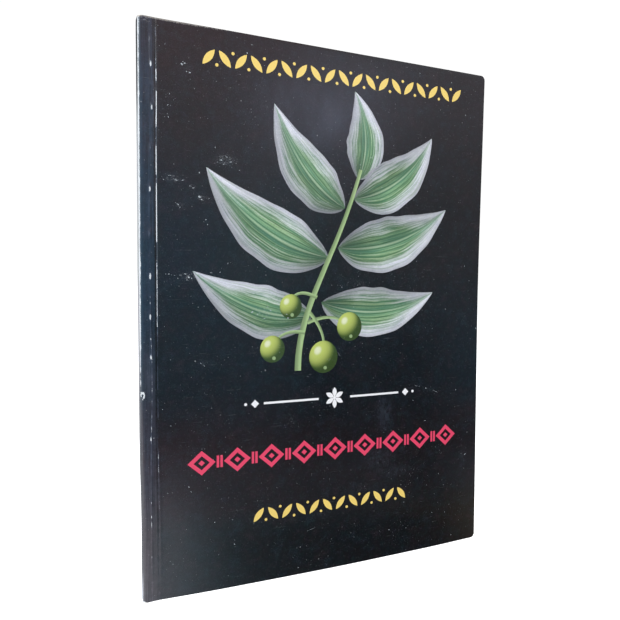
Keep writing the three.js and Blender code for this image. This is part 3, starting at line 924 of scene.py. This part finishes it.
SCORE_WEAR = (  # rubbed stretches of the score: from and to, down from the head, and how much
    (0.5, 3.0, 0.14), (3.4, 6.4, 0.40), (7.2, 13.0, 0.20), (13.8, 15.8, 0.46), (16.0, 17.0, 0.25), (17.4, 21.4, 0.90), (22, 24.4, 0.16), (25.0, 36.8, 1.02),
    (36.8, 39.2, 0.52), (39.2, 43.6, 0.30), (44.1, 54.0, 1.10), (54, 56.8, 0.34), (57.0, 62.0, 1.08), (61.0, 77.8, 1.22), (78, 84.6, 0.22), (85.0, 98.8, 0.70),
    (98.6, 108.6, 0.64), (108.6, 114.0, 0.34), (114, 127, 0.24), (127, 131, 0.32), (134, 142, 0.36), (153.2, 165.2, 0.40), (165, 172, 0.3), (172, 176.6, 0.40),
    (176.6, 210, 0.20),
)
STITCH_WEAR = np.array([0.30, 0.42, 0.2, 0.95, 0.0, 1.1, 1.1, 1.15, 0.45, 0.92, 0.4, 0.9, 1.1])  # at each hole, from the tail up

# rubbed patches, and a painted highlight on the sewing ridge by the head (the patches at x 3.8 and 4.0): x from the
# spine, y down from the head, half sizes, haze, how densely specked
FRONT_PATCHES = (
    (17.5, 15.5, 2.6, 2.2, 0.14, 0.32), (31, 47, 5.0, 2.6, 0.18, 0.60), (11.5, 55, 4.0, 1.6, 0.22, 0.55), (18.5, 57.6, 2.4, 1.2, 0.10, 0.45),
    (21.8, 61.3, 2.6, 1.4, 0.12, 0.60), (14.2, 64.5, 2.2, 1.6, 0.08, 0.50), (17, 90, 5.0, 1.8, 0.16, 0.55), (46.5, 103.5, 6.0, 3.0, 0.18, 0.55),
    (57, 147, 4.0, 3.0, 0.06, 0.30), (99, 148, 3.0, 6.0, 0.78, 0.12), (97, 166, 6.0, 4.5, 0.50, 0.10), (104, 173, 8.0, 2.0, 0.40, 0.05), (88, 178, 7.0, 2.2, 0.25, 0.0), (122, 139, 8.0, 2.4, 0.06, 0.30),
    (141.5, 170.5, 1.6, 2.6, 0.55, 0.12), (86, 92, 5.0, 2.6, 0.08, 0.35), (82, 104, 8.0, 4.0, 0.05, 0.30), (64, 137, 5, 4, 0.07, 0.15),
    # the two patches at x 3.8 and 4.0 near the head are a painted highlight on the sewing ridge
    (101, 35, 3.0, 12, 0.06, 0.25), (2.4, 1.0, 2.5, 1.6, 0.25, 0.60), (3.8, 4.5, 0.55, 4.6, 0.30, 0.12), (4.0, 7.7, 0.45, 1.0, 0.75, 0.20), (2.6, 124, 1.6, 11, 0.45, 0.0), (4.4, 62, 1.2, 10, 0.16, 0.0), (10.5, 27, 2.0, 5.0, 0.05, 0.30),
    (22.5, 122.5, 3, 1.6, 0.06, 0.35), (34, 12, 12, 10, 0.06, 0.10),
)
BACK_PATCHES = (
    (40, 60, 26, 10, 0.10, 0.10), (95, 150, 18, 26, 0.10, 0.10), (138, 200, 8, 8, 0.22, 0.30), (140, 10, 7, 6, 0.18, 0.30),
    (70, 205, 20, 3, 0.15, 0.25), (25, 180, 8, 5, 0.12, 0.35), (110, 40, 6, 3, 0.12, 0.40), (60, 110, 5, 9, 0.08, 0.30),
)


def wear_values(s, z, front):
    """Masks from 0 to about 1, for vertices: spine bend (wear and painted highlight), score, sewing, cut edges, dull
    film (rubbed, with painted reflection and shade).
    """
    y = H - z
    r = waves(21 if front else 22, 5, 26)
    r2 = waves(23 if front else 24, 1.6, 5)
    # the rounded edge of the spine: a bright line of worn film and painted highlight, which fades towards the tail
    wide = 0.46 + 0.08 * r(z * 0, z) + 0.09 * r2(z * 0 + 30, z) - 0.13 * bell(z - 90, 9)
    line = bell(s - (S_FLAT + 0.32 * BEND * math.pi / 2), wide)
    strength = 0.20 + 0.80 * smooth(66, 100, z) - 0.20 * smooth(180, 200, z) + 0.14 * r(z * 0 + 9, z) + 0.10 * r2(z * 0 + 15, z)
    outer_line = 0.85 * bell(s - (S_FLAT - 0.05), 0.42) * smooth(116, 124, z) * (1 - smooth(178, 186, z)) * (0.8 + 0.3 * r2(z * 0 + 50, z))
    spine = np.maximum(line * strength, outer_line) if front else line * (0.62 + 0.2 * r(z * 0 + 9, z))
    chip = bell(np.hypot(s - (S_BEND - 0.10), (y - 132.9) * 0.55) - 0.60, 0.24) * (1 - 0.9 * smooth(0.0, 0.5, S_BEND - 0.1 - s) * smooth(132.8, 133.6, y))
    ends = bell(s - (S_FLAT + S_BEND) / 2, 1.0) * (np.exp(-z / 0.6) * 1.05 + np.exp(-(H - z) / 0.8) * 1.1)
    spine = np.maximum(np.maximum(spine, chip * 1.1 if front else 0), ends)
    # the score: strong in the upper third, broken, faint below
    if front:
        run = 0.0 * y
        for top, end, much in SCORE_WEAR:
            run = np.maximum(run, much * smooth(top - 0.6, top + 0.4, y) * (1 - smooth(end - 0.4, end + 0.6, y)))
        score = bell(s - S_SCORE - 0.12 - 0.20 * bell(z - 184, 11), 0.145) * (0.02 + 0.98 * run + 0.13 * r2(z * 0, z))
    else:
        score = bell(s - S_SCORE, 0.16) * (0.42 + 0.3 * r(z * 0 + 40, z))
    # stitches: rubbed where the card is lifted
    line = sew_line(z)
    thread = 0.13 + 0.27 * (1 - smooth(104, 116, z)) + 0.07 * smooth(52, 58, z) * (1 - smooth(96, 102, z)) + 0.04 * smooth(56, 62, z) * (1 - smooth(80, 88, z)) - 0.10 * (1 - smooth(44, 50, z))
    sew = thread * bell(s - line - 0.05 - 0.28 * bell(z - 78, 16), 0.16) * (0.9 + 0.3 * r2(z * 0 + 4, z))
    dashes = 0.85 * bell(z - 30, 3.4) + 0.85 * bell(z - 15.8, 3.4) + 0.75 * bell(z - 5.0, 2.2) + 0.3 * bell(z - 60, 5.0)
    low = 0.80 * bell(s - line, 0.16) * dashes * (0.75 + 0.9 * r2(z * 1.7 + 4, z * 2.1))
    sew = np.maximum(sew, low)
    rr = np.random.default_rng(33 if front else 34)
    much = STITCH_WEAR if front else np.roll(STITCH_WEAR, 5)
    for k, zk in enumerate(holes):
        at = zk + STITCH_SHIFT[k]
        dot = bell(s - line - rr.uniform(-0.06, 0.06), rr.uniform(0.24, 0.34)) * bell(z - at, 0.55 + 0.50 * much[k])
        sew = np.maximum(sew, much[k] * dot * (0.92 + 0.25 * r2(s * 2.5, z * 2.5)))
        if rr.uniform() < 0.4:
            sew = np.maximum(sew, rr.uniform(0.4, 0.7) * bell(s - line, 0.22) * bell(z - zk - 7.4, rr.uniform(0.3, 0.6)))
    sew = np.maximum(sew, 0.62 * bell(s - line, 0.18) * (bell(z - 110.3, 1.0) + 0.72 * bell(z - 65.2, 0.7)))
    # cut edges: a fringe at the head by the spine, and at the corners
    e = sheet_edge_distance(s, z)
    x = s - S_SCORE + SCORE
    head = np.exp(-(H - z) / 3) * (1 - smooth(12, 60, x)) if front else 0 * s
    fringe = np.maximum(np.exp(-e / 0.26), 0.95 * head * (1 - smooth(0.35, 1.05, e)))
    amount = 0.20 + 0.62 * head
    near_corner = np.hypot(S_END - s, np.minimum(z, H - z))
    amount = amount + 0.25 * bell(near_corner, 4.0)
    edge = fringe * (amount + 0.12 * r2(s, z))
    # film rubbed dull, with painted reflection and shade: a light line beside the score in the lower half, the hinge
    # strip lighter beside the sewing ridge and the spine and darker by the score, a brightening towards the tail by the
    # spine, and a faint brightening at the head
    strip = smooth(0.6, 1.6, x) * (1 - smooth(SCORE - 0.4, SCORE + 0.5, x))
    if front:
        haze_and_reflection = 0.60 * bell(s - S_SCORE + 0.22, 0.17) * (1 - smooth(52, 84, z)) + 0.34 * strip * (0.75 + 0.5 * bell(s - line - 0.3, 1.0) + 0.7 * bell(x - 0.9, 1.0) - 0.5 * bell(x - SCORE + 0.6, 0.7))
        haze_and_reflection = haze_and_reflection + 0.62 * np.exp(-x / 9.0) * smooth(120, 205, y) + 0.10 * smooth(60, 0, y) * np.exp(-x / 60)
    else:
        haze_and_reflection = 0.35 * strip + 0.12 * np.exp(-x / 30)
    scuff = 0.0 * s
    for cx, cy, rx, ry, more_haze, more_scuff in FRONT_PATCHES if front else BACK_PATCHES:
        near = np.exp(-(((x - cx) / rx) ** 2) - ((y - cy) / ry) ** 2)
        haze_and_reflection = haze_and_reflection + more_haze * near
        scuff = scuff + more_scuff * near
    return spine, score, sew, edge, np.clip(haze_and_reflection, 0, 1), np.clip(scuff, 0, 1)


def thin_out(points, loops, clear):
    """Leaves out the points that lie too close to an outline."""
    from mathutils.kdtree import KDTree

    walls = np.concatenate(loops)
    tree = KDTree(len(walls))
    for i, (a, b) in enumerate(walls):
        tree.insert((a, b, 0), i)
    tree.balance()
    return [p for p in points if tree.find((p[0], p[1], 0))[2] > clear]


def refine(loop, most=1.3):
    """Splits long edges of an outline, so that it follows the bowed card."""
    out = []
    for a, b in zip(loop, np.roll(loop, -1, 0)):
        n = max(1, int(math.ceil(np.linalg.norm(b - a) / most)))
        out += [a + (b - a) * i / n for i in range(n)]
    return np.array(out)


def make_card(name, front):
    outline = outline_of_half()
    cols, rows_a, rows_b = columns(), spine_rows(), panel_rows()
    pts = [(s, z) for s in cols[1:] if s <= S_SCORE + 1.0 for z in rows_a[1:-1]]
    inset = []
    for s in cols:
        if s > S_SCORE + 1.0:
            for z in rows_b:
                if sheet_edge_distance(np.array(s), np.array(z)) > 0.12:
                    inset.append((s, z))
    pts += inset
    shapes = cover_print() if front else []
    scuffs = front_scuffs() if front else back_scuffs()
    loops = [outline] + [refine(s[1]) for s in shapes] + list(scuffs)
    inner_loops = loops[1:]
    if inner_loops:
        pts = thin_out(pts, inner_loops, 0.28)
    v, tris, top = triangulate(loops, pts)
    outer = card_point(v[:, 0], v[:, 1], False, front)
    inner = card_point(v[:, 0], v[:, 1], True, front)
    n = len(v)
    rim = rims(tris)
    faces = [tuple(t) for t in tris] + [tuple(n + i for i in t[::-1]) for t in tris]
    faces += [(b, a, n + a, n + b) for a, b in rim]
    mats = [mat_black, mat_card, mat_edge, mat_gold, mat_red, mat_white, mat_leaf, mat_berry, mat_stem, mat_worn]
    slot_of = {0: 0}
    for i, s in enumerate(shapes):
        slot_of[1 + i] = mats.index(s[0])
    for i in range(len(scuffs)):
        slot_of[1 + len(shapes) + i] = 9
    slots = [slot_of[int(t)] for t in top] + [1] * len(tris) + [2] * len(rim)
    if not front:
        faces = [f[::-1] for f in faces]
    ob = new_object(name, np.concatenate([outer, inner]), faces, mats, slots)
    # maps: the unrolled sheet in millimetres, running on round the spine from the front to the back
    across = v[:, 0] - S_SCORE if front else -v[:, 0] - S_SCORE
    sheet = np.stack([across, v[:, 1]], 1)
    corner_map(ob, "sheet", np.concatenate([sheet, sheet]))
    zero = np.zeros(n)
    for key, val in zip(("w_spine_wear_and_highlight", "w_score", "w_sew", "w_edge", "w_haze_and_reflection", "w_scuff"), wear_values(v[:, 0], v[:, 1], front)):
        point_value(ob, key, np.concatenate([val, zero]))
    point_value(ob, "w_rim", np.concatenate([zero, np.exp(-sheet_edge_distance(v[:, 0], v[:, 1]) / 5)]))
    point_value(ob, "w_outer", np.concatenate([np.ones(n), zero]))
    # where each printed face lies on its motif
    me = ob.data
    uv = np.zeros((len(me.loops), 2), np.float32)
    vary = np.zeros((len(me.loops), 2), np.float32)
    vary[:, 1] = 1
    starts = np.empty(len(me.polygons), np.int32)
    me.polygons.foreach_get("loop_start", starts)
    corners = np.empty(len(me.loops), np.int32)
    me.loops.foreach_get("vertex_index", corners)
    for i, (mat, _, local, (seed, light)) in enumerate(shapes):
        if local is None:
            continue
        chosen = starts[: len(tris)][top == 1 + i]
        idx = (chosen[:, None] + np.arange(3)).ravel()
        p = v[corners[idx]]
        flat = off_sheet(p)
        uv[idx] = local.local(flat)
        vary[idx] = (seed, light)
    me.uv_layers.new(name="print").data.foreach_set("uv", uv.ravel())
    me.uv_layers.new(name="print_vary").data.foreach_set("uv", vary.ravel())
    return ob


front_card = make_card("front_cover_card", True)
back_card = make_card("back_cover_card", False)
for card, body, node, sign in ((front_card, "front_cover", "front_cover", -1), (back_card, "back_cover", "back_cover", 1)):
    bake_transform(card)
    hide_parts(node, "spine_wrap")


# ------------------------------------------------------------------ leaves
def paper_material():
    m, g, p = material("leaf_paper")
    sheet = g.uv("sheet")
    fibre = g.noise(g.map(sheet, scale=(1, 0.4, 1), turn=0.2), 1.5, 5.0, 0.7)
    flock = g.noise(g.map(sheet, shift=(8, 27, 0)), 0.45, 4.0, 0.7)
    cloud = g.noise(sheet, 0.02, 2.0, 0.5)
    tone = g.mix(g.step(cloud, 0.3, 0.75), linear(242, 239, 230), linear(237, 232, 219))
    tone = g.mix(g.math("MULTIPLY", g.step(fibre, 0.35, 0.75), 0.16), tone, linear(210, 202, 182))
    tone = g.mix(g.math("MULTIPLY", g.step(flock, 0.40, 0.70), 0.10), tone, linear(212, 204, 184))
    dist, pick = g.cells(sheet, 0.13)
    pr, pg, _ = g.split(pick)
    spot = g.math("SUBTRACT", 1.0, g.step(dist, 0.0, g.math("MULTIPLY_ADD", g.math("POWER", pg, 3.0), 0.14, 0.03)), clamp=True)
    spot = g.math("MULTIPLY", g.math("MULTIPLY", spot, g.math("LESS_THAN", pr, 0.30)), 0.34)
    tone = g.mix(spot, tone, linear(184, 150, 100))
    tone = g.mix(g.math("MULTIPLY", g.attribute("w_rim"), g.step(flock, 0.3, 0.7, 0.35, 0.65)), tone, linear(218, 204, 172))
    g.put(p.inputs["Base Color"], tone)
    g.put(p.inputs["Roughness"], g.step(fibre, 0.3, 0.7, 0.80, 0.93))
    p.inputs["Specular IOR Level"].default_value = 0.2
    g.put(p.inputs["Normal"], g.bump(fibre, 0.25, 0.00005))
    return m


def cut_material():
    """Trimmed edges of the leaves: each leaf has its own tone, so the block shows its layers, with knife marks across them."""
    m, g, p = material("leaf_cut_edge")
    sheet = g.uv("sheet")
    tone = g.mix(g.attribute("w_tone"), linear(150, 138, 116), linear(246, 240, 224))
    along = g.noise(g.map(sheet, scale=(0.8, 0.8, 1)), 0.25, 4.0, 0.7)
    fine = g.noise(sheet, 3.0, 3.0, 0.7)
    tone = g.mix(g.step(along, 0.35, 0.70, 0.0, 0.30), tone, linear(176, 160, 128))
    tone = g.mix(g.step(fine, 0.40, 0.75, 0.0, 0.25), tone, linear(140, 130, 112))
    g.put(p.inputs["Base Color"], tone)
    g.put(p.inputs["Roughness"], g.step(fine, 0.3, 0.7, 0.82, 0.95))
    p.inputs["Specular IOR Level"].default_value = 0.15
    g.put(p.inputs["Normal"], g.bump(fine, 0.4, 0.00005))
    return m


mat_cut = cut_material()
mat_paper = paper_material()
half_block = (LEAVES * PITCH - (PITCH - PAPER)) / 2
LEAF_W = W / 2 - LEAF_X


def leaf_angles():
    """Degrees of each leaf, a little uneven, and never closer to its neighbour than the paper allows."""
    r = np.random.default_rng(77)
    gaps = 0.30 + 5.0 * r.uniform(0, 1, LEAVES - 1) ** 5
    least = 0.0035  # degrees, so that sheets don't touch at the fore edge
    total = 2 * FAN
    gaps = least + gaps * (total - least * (LEAVES - 1)) / gaps.sum()
    return -FAN + np.concatenate([[0], np.cumsum(gaps)])


def make_leaves():
    angles = leaf_angles()
    xs = np.concatenate([[0, 1.6], [], [SEW_X + SPINE_X - LEAF_X - 0.42, SEW_X + SPINE_X - LEAF_X + 0.42], [7.0, 11.0], np.linspace(17, LEAF_W - 6, 17), LEAF_W - np.array([3.2, 1.2, 0.4])])
    hole_rows = np.sort(np.concatenate([holes - 0.42, holes + 0.42]))
    zs = np.concatenate([[0.4, 1.2, 3.2, 7.0], hole_rows, (holes[:-1] + holes[1:]) / 2, H - np.array([7.0, 3.2, 1.2, 0.4])])
    zs = np.unique(np.round(zs, 4))
    out = []
    steps = 6
    corner = []
    for i in range(steps + 1):
        a = -math.pi / 2 + i / steps * math.pi / 2
        corner.append((LEAF_W - LEAF_CORNER + LEAF_CORNER * math.cos(a), LEAF_CORNER + LEAF_CORNER * math.sin(a)))
    out += [(x, 0.0) for x in xs if x < LEAF_W - LEAF_CORNER - 0.2]
    out += corner
    out += [(LEAF_W, z) for z in zs if LEAF_CORNER + 0.3 < z < H - LEAF_CORNER - 0.3]
    out += [(x, H - z) for x, z in corner[::-1]]
    out += [(x, H) for x in xs[::-1] if x < LEAF_W - LEAF_CORNER - 0.2]
    out += [(0.0, z) for z in zs[::-1]]
    outline = np.array(out)
    xh = SEW_X + SPINE_X - LEAF_X
    cuts = [np.array([(xh - 0.42, z - 0.42), (xh + 0.42, z - 0.42), (xh + 0.42, z + 0.42), (xh - 0.42, z + 0.42)]) for z in holes]
    pts = []
    for x in xs[1:]:
        for z in zs:
            corner_x, corner_z = LEAF_W - x, min(z, H - z)
            if corner_x < 0.2 or (corner_x < LEAF_CORNER and corner_z < LEAF_CORNER and math.hypot(LEAF_CORNER - corner_x, LEAF_CORNER - corner_z) > LEAF_CORNER - 0.15):
                continue
            pts.append((x, z))
    v, tris, top = triangulate([outline] + cuts, pts)
    tris = tris[top == 0]
    used = np.unique(tris)
    again = np.full(len(v), -1)
    again[used] = np.arange(len(used))
    v, tris = v[used], again[tris]
    rim = rims(tris)
    n = len(v)
    faces = [tuple(t) for t in tris] + [tuple(n + i for i in t[::-1]) for t in tris]
    faces += [(b, a, n + a, n + b) for a, b in rim]
    x, z = v.T
    t = x / LEAF_W
    shared = -0.42 * np.sin(math.pi * t) * (0.45 + 0.55 * (1 - z / H)) * smooth(0.03, 0.25, t)
    common = 0.05 * waves(301, 60, 160)(x, z) * smooth(0.05, 0.5, t)
    d = np.minimum(np.minimum(z, H - z), LEAF_W - x)
    r = np.random.default_rng(9)
    tones = np.random.default_rng(15).uniform(0, 1, LEAVES + 2)
    tones = np.clip(0.5 + 1.25 * (0.6 * tones[1:-1] + 0.2 * tones[:-2] + 0.2 * tones[2:] - 0.5), 0.05, 1)
    for k in range(LEAVES):
        a = math.radians(angles[k])
        own = 0.016 * waves(400 + k, 50, 150)(x, z) * t
        bend = shared + common + own
        first = 1 - min(k, LEAVES - 1 - k) / 3
        if first > 0:  # the outermost leaves lift slightly at their corners
            lift = 0.16 * first * t**3 * ((z - H / 2) / (H / 2)) ** 2
            bend = bend + (-lift if k < LEAVES / 2 else lift)
        y0 = -half_block + k * PITCH
        trim = r.normal(0, 0.035, 3)
        px = LEAF_X + (x + np.where(t > 0.5, trim[0] * (t - 0.5) * 2, 0)) * math.cos(a)
        pz = np.clip(z + np.where(z > H / 2, trim[1] - 0.06, abs(trim[2])) * smooth(0.1, 0.4, t) * np.abs(z - H / 2) / (H / 2), 0, H)
        y = YC + y0 + x * math.sin(a) + bend
        front_face = np.stack([px, y, pz], 1)
        back_face = np.stack([px - PAPER * math.sin(a), y + PAPER * math.cos(a), pz], 1)
        name = f"leaf_{k + 1:02d}"
        # the faces run with the front on the outside
        ob = new_object(name + "_paper", np.concatenate([front_face, back_face]), faces, [mat_paper, mat_cut], [0] * (2 * len(tris)) + [1] * len(rim), sharp=40)
        sheet = np.stack([x + 160 * k, z], 1)
        corner_map(ob, "sheet", np.concatenate([sheet, sheet + [31, 17]]))
        age = np.exp(-np.maximum(d, 0) / 3.5)
        point_value(ob, "w_rim", np.concatenate([age, age]))
        point_value(ob, "w_tone", np.full(2 * n, tones[k]))
        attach(ob, "text_block")
        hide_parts(name)


make_leaves()


# ------------------------------------------------------------------ adhesive and thread keep their CAD solids
def glue_material():
    m, g, p = material("adhesive")
    c = g.node("ShaderNodeTexCoord").outputs["Object"]
    n = g.noise(c, 900, 4.0, 0.6)
    lump = g.noise(c, 160, 3.0, 0.6)
    g.put(p.inputs["Base Color"], g.mix(lump, linear(214, 200, 160), linear(236, 226, 196)))
    g.put(p.inputs["Roughness"], g.step(n, 0.3, 0.7, 0.35, 0.6))
    g.put(p.inputs["Normal"], g.bump(lump, 0.6, 0.0002))
    return m


def thread_material():
    m, g, p = material("sewing_thread")
    c = g.node("ShaderNodeTexCoord").outputs["Object"]
    x, y, z = g.split(c)
    twist = g.node("ShaderNodeTexWave", wave_type="BANDS", bands_direction="DIAGONAL")
    g.put(twist.inputs["Vector"], c)
    twist.inputs["Scale"].default_value = 420
    twist.inputs["Distortion"].default_value = 1.5
    g.put(p.inputs["Base Color"], g.mix(twist.outputs["Fac"], linear(214, 208, 194), linear(240, 236, 226)))
    p.inputs["Roughness"].default_value = 0.9
    g.put(p.inputs["Normal"], g.bump(twist.outputs["Fac"], 0.8, 0.0001))
    return m


mat_glue, mat_thread = glue_material(), thread_material()
for node, mat in (("spine_adhesive", mat_glue), ("front_sewing_thread", mat_thread), ("back_sewing_thread", mat_thread)):
    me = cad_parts[node].data
    me.materials.clear()
    me.materials.append(mat)


# ------------------------------------------------------------------ camera, floor and light
cam = bpy.data.cameras.new("camera")
cam.sensor_width = 36
cam.sensor_fit = "HORIZONTAL"
cam.lens = 32.087
cam.clip_start = 0.01
cam.clip_end = 50
camera = bpy.data.objects.new("camera", cam)
camera.location = (-0.1036103, -0.2076552, 0.1202027)
camera.rotation_euler = Euler([math.radians(a) for a in (86.5718, -0.5086, -25.3159)], "XYZ")
bpy.context.scene.collection.objects.link(camera)
bpy.context.scene.camera = camera


def stage_floor():
    n, size = 4, 6.0
    xs = np.linspace(-size, size, n + 1)
    verts = [(x, y, 0) for x in xs for y in xs]
    faces = [(i * (n + 1) + j, (i + 1) * (n + 1) + j, (i + 1) * (n + 1) + j + 1, i * (n + 1) + j + 1) for i in range(n) for j in range(n)]
    me = bpy.data.meshes.new("floor")
    me.from_pydata(verts, [], faces)
    m = bpy.data.materials.new("pale_floor")
    m.use_nodes = True
    m.node_tree.nodes.clear()
    g = Graph(m.node_tree)
    out = g.node("ShaderNodeOutputMaterial")
    # what is seen: an even pale floor
    diffuse = g.node("ShaderNodeBsdfDiffuse")
    diffuse.inputs["Color"].default_value = (0.92, 0.92, 0.92, 1)
    glow = g.node("ShaderNodeEmission")
    glow.inputs["Color"].default_value = (1, 1, 1, 1)
    glow.inputs["Strength"].default_value = 0.6
    seen = g.node("ShaderNodeAddShader")
    g.put(seen.inputs[0], diffuse.outputs[0])
    g.put(seen.inputs[1], glow.outputs[0])
    # what the gloss reflects: soft light from the left that falls off to the right
    x, y, _ = g.split(g.node("ShaderNodeTexCoord").outputs["Object"])
    dx = g.math("DIVIDE", g.math("ADD", x, 0.078), 0.028)
    dy = g.math("DIVIDE", g.math("ADD", y, 0.015), 0.095)
    r2 = g.math("ADD", g.math("MULTIPLY", dx, dx), g.math("MULTIPLY", dy, dy))
    near = g.math("MULTIPLY", g.math("EXPONENT", g.math("MULTIPLY", r2, -1.0)), 1.5)
    left = g.step(g.math("MULTIPLY_ADD", y, -0.45, x), -0.16, -0.06, 1.1, 0.0)
    mid = g.step(g.math("MULTIPLY_ADD", y, 0.35, x), -0.12, 0.02, 0.24, 0.0)
    right = g.math("MULTIPLY", g.step(g.math("MULTIPLY_ADD", y, 0.62, x), 0.04, 0.08, 0.0, 0.26), g.step(y, -0.17, -0.07))
    band = g.math("MULTIPLY", g.math("MULTIPLY", g.step(y, -0.040, -0.075), g.step(y, -0.20, -0.12)), g.step(x, 0.10, 0.06, 0.0, 0.15))
    far = g.step(y, -0.35, -0.9, 0.0, 0.08)
    fore = g.math("MULTIPLY", g.step(g.math("MULTIPLY_ADD", y, 0.71, x), 0.046, 0.066, 0.0, 0.15), g.step(y, -0.17, -0.24))
    level = g.math("ADD", g.math("ADD", g.math("ADD", near, left), g.math("ADD", mid, right)), g.math("ADD", g.math("ADD", far, fore), g.math("ADD", band, 0.11)))
    level = g.math("SUBTRACT", level, g.math("MULTIPLY", g.math("MULTIPLY", g.step(x, -0.03, 0.02, 0.0, 0.045), g.step(x, 0.09, 0.05)), g.step(y, -0.16, -0.08)))
    level = g.fmix(g.step(y, 0.0, 0.02), level, g.step(y, 0.15, 0.60, 0.45, 1.1))
    cool = g.mix(g.step(x, -0.085, -0.035), (0.97, 0.99, 1.10, 1), (0.74, 1.05, 1.22, 1))
    tint = g.mix(g.step(y, -0.055, -0.090), cool, (1.02, 0.96, 1.12, 1))
    tint = g.mix(g.step(y, -0.12, -0.17), tint, (1.24, 0.87, 1.02, 1))
    tint = g.mix(g.step(y, -0.22, -0.32), tint, (0.58, 1.00, 1.38, 1))
    warm = g.math("MULTIPLY", g.step(x, 0.03, 0.075), g.step(y, -0.085, -0.045))
    tint = g.mix(warm, tint, (1.22, 1.0, 0.76, 1))
    mirrored = g.node("ShaderNodeEmission")
    g.put(mirrored.inputs["Color"], tint)
    g.put(mirrored.inputs["Strength"], level)
    bounce = g.node("ShaderNodeEmission")
    bounce.inputs["Color"].default_value = (1, 1, 1, 1)
    bounce.inputs["Strength"].default_value = 0.55
    path = g.node("ShaderNodeLightPath")
    other = g.node("ShaderNodeMixShader")
    g.put(other.inputs[0], path.outputs["Is Glossy Ray"])
    g.put(other.inputs[1], bounce.outputs[0])
    g.put(other.inputs[2], mirrored.outputs[0])
    pick = g.node("ShaderNodeMixShader")
    g.put(pick.inputs[0], path.outputs["Is Camera Ray"])
    g.put(pick.inputs[1], other.outputs[0])
    g.put(pick.inputs[2], seen.outputs[0])
    g.put(out.inputs["Surface"], pick.outputs[0])
    me.materials.append(m)
    ob = bpy.data.objects.new("floor", me)
    bpy.context.scene.collection.objects.link(ob)


stage_floor()


def soft_light(name, at, towards, size, power, colour=(1, 1, 1), size_y=None):
    data = bpy.data.lights.new(name, "AREA")
    data.energy = power
    data.color = colour
    data.shape = "RECTANGLE"
    data.size = size
    data.size_y = size_y or size
    ob = bpy.data.objects.new(name, data)
    ob.location = at
    ob.rotation_euler = (Vector(towards) - Vector(at)).to_track_quat("-Z", "Y").to_euler()
    ob.visible_camera = False
    bpy.context.scene.collection.objects.link(ob)
    return ob


soft_light("key", (-0.55, -0.75, 1.05), (0, 0, 0.08), 0.9, 14.0)
soft_light("top", (0.1, 0.35, 1.3), (0, 0, 0), 1.2, 7.0)


def soft_room():
    """Even light for the eye; for the gloss a room that is brighter on the left and overhead and dim behind."""
    world = bpy.data.worlds.new("world")
    world.use_nodes = True
    world.node_tree.nodes.clear()
    g = Graph(world.node_tree)
    out = g.node("ShaderNodeOutputWorld")
    x, y, z = g.split(g.node("ShaderNodeTexCoord").outputs["Generated"])
    low = g.mix(g.step(x, 0.0, 0.25), (0.35, 0.56, 0.86, 1), (0.42, 0.68, 0.80, 1))
    low = g.mix(g.step(x, 0.27, 0.42), low, (0.26, 0.37, 0.43, 1))
    low = g.mix(g.step(x, 0.46, 0.56), low, (0.42, 0.42, 0.46, 1))
    high = g.mix(g.step(x, 0.22, 0.42), (1.08, 0.76, 0.79, 1), (1.06, 1.01, 1.04, 1))
    front = g.mix(g.step(z, 0.07, 0.30), low, g.mix(g.step(x, 0.12, 0.30), (0.88, 0.74, 0.78, 1), (0.90, 0.79, 0.86, 1)))
    front = g.mix(g.step(z, 0.30, 0.42), front, high)
    front = g.mix(g.step(x, 0.6, 0.95), front, (0.16, 0.16, 0.18, 1))
    lamp = None
    for axis, at, wide in ((x, 0.33, 0.085), (y, -0.90, 0.085), (z, 0.285, 0.058)):
        part = g.math("POWER", g.math("DIVIDE", g.math("SUBTRACT", axis, at), wide), 2.0)
        lamp = part if lamp is None else g.math("ADD", lamp, part)
    lamp = g.math("EXPONENT", g.math("MULTIPLY", lamp, -1.0))
    front = g.mix(lamp, front, (2.80, 3.00, 4.00, 1))
    window = g.mix(g.step(x, -0.06, -0.75), front, (2.6, 3.1, 3.6, 1))
    back = g.mix(g.step(z, 0.23, 0.31), (1.15, 1.22, 1.30, 1), (0.14, 0.15, 0.17, 1))
    behind = g.mix(g.step(y, -0.35, 0.45), window, back)
    over = g.mix(g.step(z, 0.55, 0.95), behind, (0.9, 0.9, 0.92, 1))
    room = g.node("ShaderNodeBackground")
    g.put(room.inputs["Color"], over)
    room.inputs["Strength"].default_value = 1.0
    fill = g.node("ShaderNodeBackground")
    fill.inputs["Color"].default_value = (0.94, 0.97, 1.0, 1)
    fill.inputs["Strength"].default_value = 0.62
    seen = g.node("ShaderNodeBackground")
    seen.inputs["Color"].default_value = (1, 1, 1, 1)
    seen.inputs["Strength"].default_value = 1.05
    path = g.node("ShaderNodeLightPath")
    other = g.node("ShaderNodeMixShader")
    g.put(other.inputs[0], path.outputs["Is Glossy Ray"])
    g.put(other.inputs[1], fill.outputs[0])
    g.put(other.inputs[2], room.outputs[0])
    pick = g.node("ShaderNodeMixShader")
    g.put(pick.inputs[0], path.outputs["Is Camera Ray"])
    g.put(pick.inputs[1], other.outputs[0])
    g.put(pick.inputs[2], seen.outputs[0])
    g.put(out.inputs["Surface"], pick.outputs[0])
    bpy.context.scene.world = world


soft_room()
bpy.context.scene.view_settings.view_transform = "Standard"
